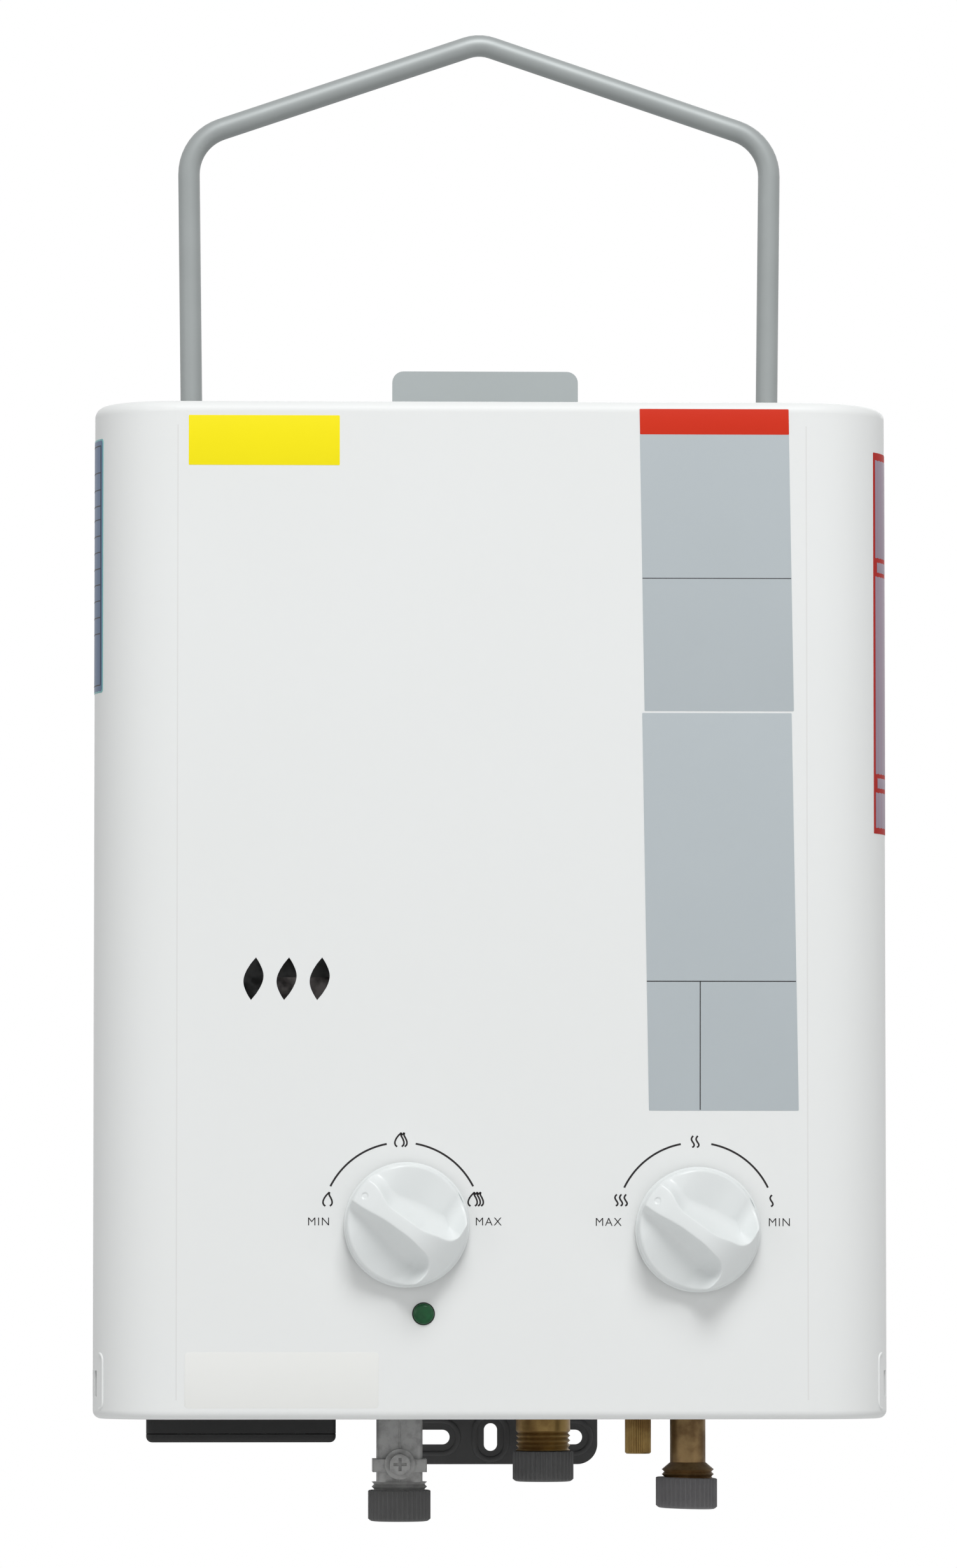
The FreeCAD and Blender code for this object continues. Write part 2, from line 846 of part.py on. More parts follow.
def cover_screws():
    """Pan-head screws that hold the cover's sides to the tray."""
    screws = []
    for side in (-1, 1):
        for z in (cover_screw_inset, case_height - cover_screw_inset):
            y = case_depth - cover_screw_depth_inset
            shank = rod_x(screw_r, half_width - screw_length, half_width, y, z)
            head = rod_x(screw_head_r, half_width, half_width + screw_head, y, z)
            rim = [edge for edge in head.Edges if edge.BoundBox.XMin > half_width + screw_head - same_place]
            head = head.makeFillet(screw_head / 2, rim)
            across = box(half_width + screw_head - screw_recess, half_width + 2 * screw_head,
                         y - recess_reach / 2 - recess_width, y + recess_reach / 2 + recess_width,
                         z - recess_width / 2, z + recess_width / 2)
            upright = box(half_width + screw_head - screw_recess, half_width + 2 * screw_head,
                          y - recess_width / 2, y + recess_width / 2,
                          z - recess_reach / 2 - recess_width, z + recess_reach / 2 + recess_width)
            screw = without(joined([shank, head]), [across, upright])
            if side < 0:
                screw = screw.mirror(Vector(0, 0, 0), Vector(1, 0, 0))
            screws.append(screw)
    return Part.makeCompound(screws)


def jogged_plate(middle_x, width, lap_end, jog_start, jog_end, tab_end):
    """A plate that lies on the back plate, then steps out to the wall's face."""
    near = case_depth
    far = wall_depth - bracket_sheet
    way = 1 if tab_end > lap_end else -1
    angle = math.atan2(far - near, abs(jog_end - jog_start))
    shift = way * bracket_sheet * math.tan(angle / 2)
    outline = [
        (near, lap_end), (near, jog_start), (far, jog_end), (far, tab_end),
        (wall_depth, tab_end), (wall_depth, jog_end - shift),
        (near + bracket_sheet, jog_start - shift), (near + bracket_sheet, lap_end),
    ]
    points = [Vector(middle_x - width / 2, y, z) for y, z in outline]
    points.append(points[0])
    return Part.Face(Part.makePolygon(points)).extrude(Vector(width, 0, 0))


def plate_outline(middle_x, width, z0, z1, radius):
    """A block with four rounded corners, used to round the corners of a jogged plate."""
    block = box(middle_x - width / 2, middle_x + width / 2, case_depth - sheet, wall_depth + sheet, z0, z1)
    return rounded_edges(block, radius, 1)


def hang_bracket():
    """Grey tab above the case, with the round hole that the heater hangs by."""
    lap_end = case_height - bracket_jog - bracket_lap
    plate = jogged_plate(tab_x, tab_width, lap_end, case_height - bracket_jog, case_height, tab_top)
    plate = plate.common(plate_outline(tab_x, tab_width, lap_end, tab_top, tab_corner))
    cutters = [rod_y(hang_hole_r, case_depth, wall_depth + sheet, 0, hang_height)]
    for x, z in hang_rivets:
        cutters.append(rod_y(rivet_r, case_depth - sheet, case_depth + 2 * bracket_sheet, x, z))
    return without(plate, cutters)


def lower_bracket():
    """Dark plate below the case, with two sideways screw slots and an upright one between them."""
    lap_end = bracket_jog + bracket_lap
    plate = jogged_plate(slot_plate_x, slot_plate_width, lap_end, bracket_jog, 0, -slot_plate_drop)
    plate = plate.common(
        plate_outline(slot_plate_x, slot_plate_width, -slot_plate_drop, lap_end, slot_plate_corner)
    )
    front = case_depth
    back = wall_depth + sheet
    cutters = [slot_y(middle_slot_length, middle_slot_r, "z", slot_plate_x, -slot_drop, front, back)]
    for side in (-1, 1):
        x = slot_plate_x + side * slot_spacing / 2
        cutters.append(slot_y(slot_length, slot_r, "x", x, -slot_drop, front, back))
    for x, z in lower_rivets:
        cutters.append(rod_y(rivet_r, case_depth - sheet, case_depth + 2 * bracket_sheet, x, z))
    return without(plate, cutters)


# --- handle -------------------------------------------------------------------------------------------
def handle_brackets():
    """Two U-shaped brackets on the back plate whose ears carry the handle's ends."""
    brackets = []
    ear_r = wall_gap / 2
    base_reach = ear_rivet_reach + rivet_head_r + rivet_tail
    for side in (-1, 1):
        pieces = []
        for outer in (outer_ear_x, inner_ear_x + ear_sheet):
            x0, x1 = sorted((handle_x + side * outer, handle_x + side * (outer - ear_sheet)))
            pieces.append(box(x0, x1, case_depth, pivot_depth, pivot_height - ear_r, pivot_height + ear_r))
            pieces.append(rod_x(ear_r, x0, x1, pivot_depth, pivot_height))
        x0, x1 = sorted((handle_x + side * outer_ear_x, handle_x + side * inner_ear_x))
        pieces.append(
            box(x0, x1, case_depth, case_depth + bracket_sheet,
                pivot_height - base_reach, pivot_height + base_reach)
        )
        bracket = joined(pieces)
        cutters = [rod_x(rod_r + running_gap, x0 - sheet, x1 + sheet, pivot_depth, pivot_height)]
        for x, z in ear_rivets:
            cutters.append(rod_y(rivet_r, case_depth - sheet, case_depth + 2 * bracket_sheet, x, z))
        brackets.append(without(bracket, cutters))
    return Part.makeCompound(brackets)


def handle_bail():
    """Round rod bent like the gable of a house, with both ends turned in to form the pivots."""
    slope = math.radians(arm_slope)
    apex_corner = apex_height + apex_bend * (1 / math.cos(slope) - 1)
    lean = math.tan(math.radians(leg_splay))
    shoulder = (apex_corner - (leg_x - lean * pivot_height) * math.tan(slope)) / (1 + lean * math.tan(slope))
    shoulder_x = leg_x + lean * (shoulder - pivot_height)
    stub = inner_ear_x - stub_past_ear
    corners = [(-stub, pivot_height), (-leg_x, pivot_height), (-shoulder_x, shoulder), (0, apex_corner),
               (shoulder_x, shoulder), (leg_x, pivot_height), (stub, pivot_height)]
    points = [Vector(handle_x + x, pivot_depth, z) for x, z in corners]
    bends = [foot_bend, shoulder_bend, apex_bend, shoulder_bend, foot_bend]
    return swept(points, bends, rod_r)


def handle_clips():
    """Push-on washers that keep the handle's ends in their ears."""
    clips = []
    for side in (-1, 1):
        inner = inner_ear_x - clip_gap
        x0, x1 = sorted((handle_x + side * inner, handle_x + side * (inner - clip_sheet)))
        washer = rod_x(clip_r, x0, x1, pivot_depth, pivot_height)
        clips.append(washer.cut(rod_x(rod_r, x0 - sheet, x1 + sheet, pivot_depth, pivot_height)))
    return Part.makeCompound(clips)


# --- knobs and spindles -------------------------------------------------------------------------------
def knob(x, z):
    """Round knob with a finger grip across it: two scoops leave a bar that widens towards its tail."""
    base = -knob_gap
    body = Part.makeCone(knob_r, knob_top_r, knob_depth, Vector(0, base, 0), Vector(0, -1, 0))
    rim = [edge for edge in body.Edges if abs(edge.BoundBox.YMin - (base - knob_depth)) < same_place
           and edge.BoundBox.YLength < same_place]
    body = body.makeFillet(knob_edge, rim)
    scoop_y = base - scoop_floor - scoop_r
    for side in (-1, 1):
        scoop = Part.makeCylinder(scoop_r, 4 * knob_r, Vector(side * (grip_half_width + scoop_r), scoop_y,
                                                              -2 * knob_r), Vector(0, 0, 1))
        scoop.rotate(Vector(side * grip_half_width, 0, 0), Vector(0, 1, 0), -side * scoop_splay)
        body = body.cut(scoop)
    hollow = Part.makeCylinder(knob_r - knob_wall, scoop_floor - knob_wall / 2,
                               Vector(0, base, 0), Vector(0, -1, 0))
    hub = rod_y(spindle_tip_r + knob_wall, base - scoop_floor, base, 0, 0)
    body = joined([body.cut(hollow), hub])
    body = body.cut(spindle_tip(0, 0))
    body.rotate(Vector(0, 0, 0), Vector(0, 1, 0), -pointer_turn)
    return body.translated(Vector(x, 0, z))


def spindle_tip(x, z):
    """The spindle's D-shaped front end, which fills the knob's socket."""
    front = -knob_gap - spindle_reach
    tip = rod_y(spindle_tip_r, front, 0, x, z)
    flat = box(x - spindle_tip_r, x + spindle_tip_r, front - sheet, sheet,
               z + spindle_tip_r - flat_depth, z + spindle_tip_r)
    return tip.cut(flat)


def spindle(x, z, valve_face):
    """Valve spindle: D-shaped tip, round body, and a collar in front of the valve's boss."""
    boss_face = valve_face - spindle_boss
    tip = spindle_tip(x, z)
    tip.rotate(Vector(x, 0, z), Vector(0, 1, 0), -pointer_turn)
    body = rod_y(spindle_r, 0, boss_face + spindle_boss + spindle_seat - hole_margin, x, z)
    collar = rod_y(spindle_collar_r, boss_face - clip_gap - spindle_collar, boss_face - clip_gap, x, z)
    return joined([tip, body, collar])


# --- lamp ---------------------------------------------------------------------------------------------
def indicator_lens():
    """Domed green lens that stands a little proud of the cover."""
    lens = rod_y(lens_r, -lens_rise, lens_depth, lamp_x, lamp_height)
    rim = [edge for edge in lens.Edges if edge.BoundBox.YMax < -lens_rise + same_place]
    return lens.makeFillet(lens_rise, rim)


def indicator_holder():
    """Socket behind the cover that the lens sits in."""
    holder = rod_y(holder_r, sheet, sheet + holder_depth, lamp_x, lamp_height)
    return holder.cut(rod_y(lens_r, 0, lens_depth, lamp_x, lamp_height))


# --- battery box --------------------------------------------------------------------------------------
def box_width():
    """Width over the walls, round two cells side by side."""
    return 4 * cell_r + cell_gap + 2 * cell_play + 2 * box_wall


def box_depth():
    """Depth over the walls, round one cell."""
    return 2 * cell_r + 2 * cell_play + 2 * box_wall


box_base = -box_drop + door_sheet + door_gap
cell_base = box_base + cell_play
box_roof = cell_base + cell_length + cell_nub + contact_sheet + cell_play
box_middle = box_left + box_width() / 2
box_back = box_front + box_depth()
hinge_y = box_back + hinge_barrel_r + door_gap
hinge_z = box_base + hinge_barrel_r / 2
cell_y = box_front + box_depth() / 2
cell_xs = [box_middle - cell_r - cell_gap / 2, box_middle + cell_r + cell_gap / 2]
lug_xs = [box_middle - box_width() / 2 + hinge_lug_inset, box_middle + box_width() / 2 - hinge_lug_inset]


def battery_box():
    """Black box for two upright D cells, hung in the bottom plate by a collar."""
    right = box_left + box_width()
    outer = box(box_left, right, box_front, box_back, box_base, box_roof + box_wall)
    outer = rounded_edges(outer, door_corner, 2)
    collar = box(box_left - box_collar, right + box_collar, box_front - box_collar, box_back + box_collar,
                 shelf_top, shelf_top + box_collar_sheet)
    hollow = box(box_left + box_wall, right - box_wall, box_front + box_wall, box_back - box_wall,
                 box_base - sheet, box_roof)
    pieces = [outer, collar]
    for x in lug_xs:
        barrel = rod_x(hinge_barrel_r, x - hinge_lug / 2, x + hinge_lug / 2, hinge_y, hinge_z)
        web = box(x - hinge_lug / 2, x + hinge_lug / 2, box_back - box_wall / 2, hinge_y,
                  hinge_z, hinge_z + hinge_barrel_r)
        pieces.append(barrel)
        pieces.append(web)
    cutters = [hollow]
    for x in lug_xs:
        cutters.append(rod_x(hinge_pin_r + running_gap, x - hinge_lug, x + hinge_lug, hinge_y, hinge_z))
    return without(joined(pieces), cutters)


def battery_door():
    """Lid under the box; its own moulded pins turn in the box's two lugs."""
    right = box_left + box_width()
    lid = box(box_left, right, box_front, box_back, -box_drop, -box_drop + door_sheet)
    lid = rounded_edges(lid, door_corner, 2)
    underside = [edge for edge in lid.Edges if edge.BoundBox.ZMax < -box_drop + same_place]
    lid = lid.makeFillet(door_edge, underside)
    pieces = [lid]
    for x in lug_xs:
        way = 1 if x < box_middle else -1
        x0, x1 = sorted((x + way * (hinge_lug / 2 + door_gap), x + way * (3 * hinge_lug / 2 + door_gap)))
        pieces.append(rod_x(hinge_barrel_r, x0, x1, hinge_y, hinge_z))
        pieces.append(
            box(x0, x1, box_back - door_corner, hinge_y, -box_drop + door_sheet / 2, -box_drop + door_sheet)
        )
        pieces.append(
            box(x0, x1, hinge_y - hinge_barrel_r + door_gap, hinge_y + hinge_barrel_r / 2,
                -box_drop + door_sheet / 2, hinge_z)
        )
        far, near = sorted((x - way * hinge_lug / 2, x0 if way > 0 else x1))
        pieces.append(rod_x(hinge_pin_r, far, near, hinge_y, hinge_z))
    return joined(pieces)


def door_contact():
    """Strip on the lid that joins the two cells."""
    x0 = cell_xs[0] - contact_size / 2
    x1 = cell_xs[1] + contact_size / 2
    top = box_base - door_gap / 2 + contact_sheet / 2
    return box(x0, x1, cell_y - contact_size / 2, cell_y + contact_size / 2, -box_drop + door_sheet, top)


def battery_cells():
    """Two D cells, one of them upside down, each with its nub."""
    cells = []
    for x in cell_xs:
        body = rod_z(cell_r, cell_base, cell_base + cell_length, x, cell_y)
        nub = rod_z(cell_nub_r, cell_base + cell_length, cell_base + cell_length + cell_nub, x, cell_y)
        cells.append(joined([body, nub]))
    return Part.makeCompound(cells)


def cell_contacts():
    """Spring plates under the roof of the box, one over each cell."""
    plates = []
    for x in cell_xs:
        plates.append(
            box(x - contact_size / 2, x + contact_size / 2, cell_y - contact_size / 2,
                cell_y + contact_size / 2, box_roof - contact_sheet, box_roof)
        )
    return Part.makeCompound(plates)


# --- gas side -----------------------------------------------------------------------------------------
def gas_inlet_neck():
    """Die-cast inlet: a square neck with a flange bar and a test point, ending in an outside thread."""
    x = gas_inlet_x
    y = fitting_depth
    half = neck_side / 2
    neck = box(x - half, x + half, y - half, y + half, -gas_thread_top, neck_top)
    neck = rounded_edges(neck, neck_corner, 2)
    flange = box(x - neck_flange_width / 2, x + neck_flange_width / 2, y - neck_flange_depth / 2,
                 y + neck_flange_depth / 2, neck_top, neck_top + neck_flange)
    flange = rounded_edges(flange, neck_flange, 2)
    bar = box(x - flange_bar_side / 2, x + flange_bar_side / 2, y - flange_bar_side / 2,
              y + flange_bar_side / 2, -flange_bar_top - flange_bar, -flange_bar_top)
    bar = rounded_edges(bar, neck_corner / 2, 2)
    thread = turned(
        [(0, -gas_thread_top)] + threaded_outline(gas_thread_r, -gas_thread_top, -gas_thread_end)
        + [(0, -gas_thread_end)], x, y
    )
    boss = rod_y(test_boss_r, y - flange_bar_side / 2 - test_boss, y - half + sheet, x, -test_point_height)
    shank = rod_y(test_shank_r, y - flange_bar_side / 2 - 2 * test_boss,
                  y - flange_bar_side / 2 + test_shank - test_boss, x, -test_point_height)
    cutters = [rod_z(neck_bore_r, -gas_thread_end - sheet, neck_top + neck_flange + sheet, x, y), shank]
    for side in (-1, 1):
        cutters.append(rod_z(valve_screw_r, neck_top - sheet, neck_top + neck_flange + sheet,
                             x + side * neck_screw_reach, y))
    return without(joined([neck, flange, bar, thread, boss]), cutters)


def test_point_screw():
    """Hexagon screw with a cross recess that closes the pressure test point."""
    x = gas_inlet_x
    z = -test_point_height
    boss_face = fitting_depth - flange_bar_side / 2 - test_boss
    head = hexagon_y(test_hex, boss_face - test_head, boss_face, x, z)
    head = head.common(
        Part.makeCone(test_hex / 2, test_hex / 2 + 2 * test_head, 2 * test_head,
                      Vector(x, boss_face - test_head, z), Vector(0, 1, 0))
    )
    shank = rod_y(test_shank_r, boss_face, boss_face + test_shank, x, z)
    top = boss_face - test_head
    across = box(x - recess_reach, x + recess_reach, top - sheet, top + recess_depth,
                 z - recess_width / 2, z + recess_width / 2)
    upright = box(x - recess_width / 2, x + recess_width / 2, top - sheet, top + recess_depth,
                  z - recess_reach, z + recess_reach)
    return without(joined([head, shank]), [across, upright])


valve_base = neck_top + neck_flange
outlet_x = (outlet_left + manifold_leg_right) / 2


def gas_valve_body():
    """Die-cast gas valve: spindle boss in front, poppet bore along x, outlet for the manifold."""
    y = fitting_depth
    block = box(valve_left, valve_right, valve_front, valve_back, valve_base, valve_top)
    block = rounded_edges(block, valve_edge, 1)
    boss = rod_y(spindle_boss_r, valve_front - spindle_boss, valve_front + sheet, gas_knob_x, gas_knob_height)
    outlet = box(outlet_left, valve_right - valve_edge, outlet_front, valve_front + sheet,
                 outlet_base, valve_top)
    chamber_end = seat_x + seat_chamber
    cutters = [
        rod_x(poppet_bore_r, valve_left - sheet, seat_x, y, linkage_height),
        rod_x(seat_r, seat_x - sheet, chamber_end, y, linkage_height),
        rod_x(push_rod_r + running_gap, chamber_end - sheet, valve_right + sheet, y, linkage_height),
        rod_z(neck_bore_r, valve_base - sheet, linkage_height, gas_inlet_x, y),
        rod_y(spindle_r + running_gap, valve_front - spindle_boss - sheet, valve_front + spindle_seat,
              gas_knob_x, gas_knob_height),
        rod_z(outlet_bore_r, linkage_height, outlet_channel_height, outlet_x, y),
        rod_y(outlet_bore_r, outlet_front + outlet_bore_r, y, outlet_x, outlet_channel_height),
        rod_z(outlet_bore_r, outlet_channel_height, valve_top + sheet, outlet_x,
              (manifold_front + manifold_back) / 2),
    ]
    for side in (-1, 1):
        cutters.append(rod_z(valve_screw_r, valve_base - sheet, valve_base + valve_screw_grip,
                             gas_inlet_x + side * neck_screw_reach, y))
    return without(joined([block, boss, outlet]), cutters)


def bore_plug():
    """Hexagon plug that closes the end of the poppet bore."""
    shank = rod_x(poppet_bore_r, valve_left, valve_left + plug_length, fitting_depth, linkage_height)
    head = hexagon_x(plug_hex + sheet, valve_left - plug_head, valve_left, fitting_depth, linkage_height)
    return joined([shank, head])


def solenoid_valve():
    """Electric safety valve on the back of the gas valve."""
    coil = rod_y(solenoid_r, valve_back, valve_back + solenoid_length, solenoid_x, solenoid_height)
    rim = [edge for edge in coil.Edges if edge.BoundBox.YMin > valve_back + solenoid_length - same_place]
    return coil.makeFillet(sheet, rim)


def gas_poppet():
    """Disc that closes the gas seat until the push rod lifts it."""
    face = seat_x - clip_gap
    disc = rod_x(poppet_r, face - poppet_disc, face, fitting_depth, linkage_height)
    stem = rod_x(poppet_stem_r, face, rod_tip_x, fitting_depth, linkage_height)
    return joined([disc, stem])


def push_rod():
    """Rod that carries the diaphragm's push to the gas poppet, with the collar that works the switch."""
    y = fitting_depth
    z = linkage_height
    plate_face = diaphragm_x - plate_gap
    rod = rod_x(push_rod_r, rod_tip_x, plate_face, y, z)
    collar = rod_x(collar_r, collar_x, collar_x + collar_width, y, z)
    plate = rod_x(plate_r, plate_face - plate_sheet, plate_face, y, z)
    return joined([rod, collar, plate])


def valve_screw_z(x, y, face, grip):
    """Cheese-head screw from below: the head under face and the shank above it."""
    head = rod_z(valve_screw_head_r, face - valve_screw_head, face, x, y)
    slot = box(x - valve_screw_head_r, x + valve_screw_head_r, y - recess_width / 2, y + recess_width / 2,
               face - valve_screw_head - sheet, face - valve_screw_head + recess_depth)
    return joined([head, rod_z(valve_screw_r, face, face + grip, x, y)]).cut(slot)


def valve_screw_x(y, z, face, grip):
    """Cheese-head screw along x: the head left of face and the shank right of it."""
    head = rod_x(valve_screw_head_r, face - valve_screw_head, face, y, z)
    slot = box(face - valve_screw_head - sheet, face - valve_screw_head + recess_depth,
               y - recess_width / 2, y + recess_width / 2, z - valve_screw_head_r, z + valve_screw_head_r)
    return joined([head, rod_x(valve_screw_r, face, face + grip, y, z)]).cut(slot)


chamber_screw_r = (chamber_r + chamber_bore_r) / 2
chamber_screws = []
for step in range(6):
    chamber_angle = math.radians(60 * step + 30)
    chamber_screws.append((fitting_depth + chamber_screw_r * math.cos(chamber_angle),
                           linkage_height + chamber_screw_r * math.sin(chamber_angle)))
cover_flange = cover_roof + push_rest_gap + push_travel + plate_sheet + plate_gap
cover_face = diaphragm_x - cover_flange
chamber_face = diaphragm_x + diaphragm_sheet


def valve_screws():
    """All the small screws of the two valves, of one size, long or short."""
    screws = []
    for side in (-1, 1):
        screws.append(valve_screw_z(gas_inlet_x + side * neck_screw_reach, fitting_depth, neck_top,
                                    neck_flange + valve_screw_grip - sheet))
    for y, z in chamber_screws:
        screws.append(valve_screw_x(y, z, cover_face, cover_flange + diaphragm_sheet + valve_screw_grip))
    return Part.makeCompound(screws)


def micro_switch():
    """Switch box on the side of the gas valve, with two ears for its lever."""
    y0 = fitting_depth - switch_width / 2
    y1 = fitting_depth + switch_width / 2
    body = box(valve_right, valve_right + switch_length, y0, y1, switch_base, switch_base + switch_height)
    ear_drop = lever_height - 2 * lever_pin_r
    pieces = [body]
    for y in (y0, y1 - switch_ear):
        pieces.append(
            box(lever_x - switch_ear_half, lever_x + switch_ear_half, y, y + switch_ear,
                ear_drop, switch_base)
        )
    hole = rod_y(lever_pin_r + running_gap, y0 - sheet, y1 + sheet, lever_x, lever_height)
    return joined(pieces).cut(hole)


def switch_lever():
    """Little lever that the push rod's collar presses."""
    y0 = fitting_depth - switch_width / 2
    y1 = fitting_depth + switch_width / 2
    inside = switch_ear + lever_side_gap
    pin = rod_y(lever_pin_r, y0, y1, lever_x, lever_height)
    arm = box(lever_x - lever_sheet / 2, lever_x + lever_sheet / 2, y0 + inside, y1 - inside,
              lever_height - lever_reach, lever_height)
    bump = rod_y(lever_bump_r, y0 + inside, y1 - inside, lever_x, lever_height - lever_reach)
    barrel = rod_y(2 * lever_pin_r, y0 + inside, y1 - inside, lever_x, lever_height)
    return joined([pin, arm, bump, barrel])


# --- water side ---------------------------------------------------------------------------------------
riser_x = burner_half_width + pipe_gap + pipe_r


def water_valve_body():
    """Brass water valve: spindle boss, half of the diaphragm chamber, drain boss and riser outlet."""
    y = fitting_depth
    z = linkage_height
    block = box(water_left, water_right, water_front, water_back, water_base, water_top)
    block = rounded_edges(block, valve_edge, 1)
    chamber = rod_x(chamber_r, chamber_face, chamber_face + chamber_depth + sheet, y, z)
    boss = rod_y(spindle_boss_r, valve_front - spindle_boss, water_front + sheet,
                 water_knob_x, water_knob_height)
    drain = rod_z(drain_boss_r, drain_boss_base, z - chamber_bore_r, drain_x, drain_depth)
    outlet = box(riser_boss_left, riser_boss_right, riser_depth - union_stub_r - sheet,
                 riser_depth + union_stub_r + sheet, riser_boss_base, riser_boss_top)
    stub = rod_z(union_stub_r, riser_boss_top, riser_boss_top + union_stub, riser_x, riser_depth)
    cutters = [
        rod_x(chamber_bore_r, chamber_face - sheet, chamber_face + chamber_hollow, y, z),
        rod_x(cold_bore_r, chamber_face, cold_inlet_x, y, z),
        rod_z(cold_bore_r, water_base - sheet, z, cold_inlet_x, y),
        rod_y(spindle_r + running_gap, valve_front - spindle_boss - sheet, valve_front + spindle_seat,
              water_knob_x, water_knob_height),
        rod_z(drain_stem_r + running_gap, drain_boss_base - sheet, drain_stem_top + sheet,
              drain_x, drain_depth),
        rod_z(drain_stem_r / 2, drain_stem_top, z, drain_x, drain_depth),
        rod_x(outlet_bore_r, cold_inlet_x, riser_x, (y + riser_depth) / 2, z),
        rod_z(pipe_r + running_gap, riser_boss_top - pipe_r, riser_boss_top + union_stub + sheet,
              riser_x, riser_depth),
        rod_z(pipe_r - pipe_wall, z, riser_boss_top, riser_x, riser_depth),
    ]
    for screw_y, screw_z in chamber_screws:
        cutters.append(rod_x(valve_screw_r, chamber_face - sheet, chamber_face + valve_screw_grip,
                             screw_y, screw_z))
    return without(joined([block, chamber, boss, drain, outlet, stub]), cutters)


def diaphragm():
    """Rubber disc clamped between the valve and its cover."""
    disc = rod_x(chamber_r, diaphragm_x, chamber_face, fitting_depth, linkage_height)
    holes = [rod_x(valve_screw_r, cover_face, chamber_face + sheet, y, z) for y, z in chamber_screws]
    return without(disc, holes)


def diaphragm_cover():
    """The other half of the diaphragm chamber, with the neck that guides the push rod."""
    y = fitting_depth
    z = linkage_height
    flange = rod_x(chamber_r, cover_face, diaphragm_x, y, z)
    neck = rod_x(cover_neck_r, cover_neck_start, cover_face + cover_roof, y, z)
    cutters = [
        rod_x(chamber_bore_r, cover_face + cover_roof, diaphragm_x + sheet, y, z),
        rod_x(push_rod_r + running_gap, cover_neck_start - sheet, diaphragm_x, y, z),
    ]
    for screw_y, screw_z in chamber_screws:
        cutters.append(rod_x(valve_screw_r, cover_face - sheet, diaphragm_x + sheet, screw_y, screw_z))
    return without(joined([flange, neck]), cutters)


def cold_inlet_tube():
    """Brass tube under the water valve, flared to an outside thread."""
    outline = [
        (cold_bore_r, water_base), (cold_flange_r, water_base), (cold_flange_r, water_base - cold_flange),
        (cold_tube_r, water_base - cold_flange), (cold_tube_r, -cold_flare_top),
    ]
    outline += threaded_outline(cold_thread_r, -cold_flare_bottom, -cold_thread_end)
    outline.append((cold_bore_r, -cold_thread_end))
    return turned(outline, cold_inlet_x, fitting_depth)


def drain_plug():
    """Knurled brass plug that drains the heater; its stem carries a seal ring."""
    head = ribbed_bar(drain_r, knurl_depth, drain_knurls, -drain_bottom, drain_head_top, drain_x, drain_depth)
    head = head.common(chamfer_cone(drain_r, 2 * knurl_depth, drain_x, drain_depth, -drain_bottom))
    stem = rod_z(drain_stem_r, drain_head_top, drain_stem_top, drain_x, drain_depth)
    groove = drain_stem_top - 4 * seal_section
    ring = rod_z(2 * drain_stem_r, groove, groove + seal_section, drain_x, drain_depth)
    ring = ring.cut(rod_z(drain_stem_r - seal_section, groove, groove + seal_section, drain_x, drain_depth))
    return joined([head, stem]).cut(ring)


def drain_seal():
    """Seal ring in the drain plug's groove."""
    groove = drain_stem_top - 4 * seal_section
    ring = rod_z(drain_stem_r, groove, groove + seal_section, drain_x, drain_depth)
    return ring.cut(rod_z(drain_stem_r - seal_section, groove, groove + seal_section, drain_x, drain_depth))


def hot_outlet_fitting():
    """Brass outlet: a hexagon that rests on the bottom plate, thread below, union stub above."""
    outline = [(hot_bore_r, hot_body_top), (hot_r, hot_body_top)]
    outline += threaded_outline(hot_r, -hot_thread_top, -hot_thread_end)
    outline.append((hot_bore_r, -hot_thread_end))
    body = turned(outline, hot_x, hot_depth)
    flange = hexagon_z(hot_hex, shelf_top, shelf_top + hot_hex_height, hot_x, hot_depth)
    flange = flange.cut(rod_z(hot_bore_r, shelf_top - sheet, hot_body_top, hot_x, hot_depth))
    stub = rod_z(union_stub_r, hot_body_top, hot_body_top + union_stub, hot_x, hot_depth)
    stub = stub.cut(rod_z(pipe_r + running_gap, hot_body_top, hot_body_top + union_stub, hot_x, hot_depth))
    return joined([body, flange, stub])


def union_nut_at(x, y, base):
    """Hexagon union nut that clamps a pipe onto a stub."""
    start = base + clip_gap
    nut = hexagon_z(union_hex, start, start + union_nut, x, y)
    wide = rod_z(union_stub_r + running_gap, start - sheet, base + union_stub + clip_gap, x, y)
    narrow = rod_z(pipe_r + running_gap, start, start + union_nut + sheet, x, y)
    return without(nut, [wide, narrow])


def union_nuts():
    """The two union nuts, at the water valve and at the hot outlet."""
    return Part.makeCompound(
        [union_nut_at(riser_x, riser_depth, riser_boss_top), union_nut_at(hot_x, hot_depth, hot_body_top)]
    )


def cap(x, y, radius, top, bottom, bore_r):
    """Ribbed plastic transport cap: a cup over the end of a thread."""
    cup = ribbed_bar(radius, cap_rib_depth, cap_ribs, -bottom, -top, x, y)
    cup = cup.common(chamfer_cone(radius, cap_rib_depth, x, y, -bottom))
    return cup.cut(rod_z(bore_r, -bottom + cap_floor, -top + sheet, x, y))


def cap_washer(x, y, bottom, bore_r):
    """Rubber washer on the floor of a cap."""
    floor = -bottom + cap_floor
    washer = rod_z(bore_r, floor, floor + washer_sheet, x, y)
    return washer.cut(rod_z(bore_r / 2, floor - sheet, floor + 2 * washer_sheet, x, y))


# --- burner -------------------------------------------------------------------------------------------
bar_xs = [(bar - (bar_count - 1) / 2) * bar_pitch for bar in range(bar_count)]


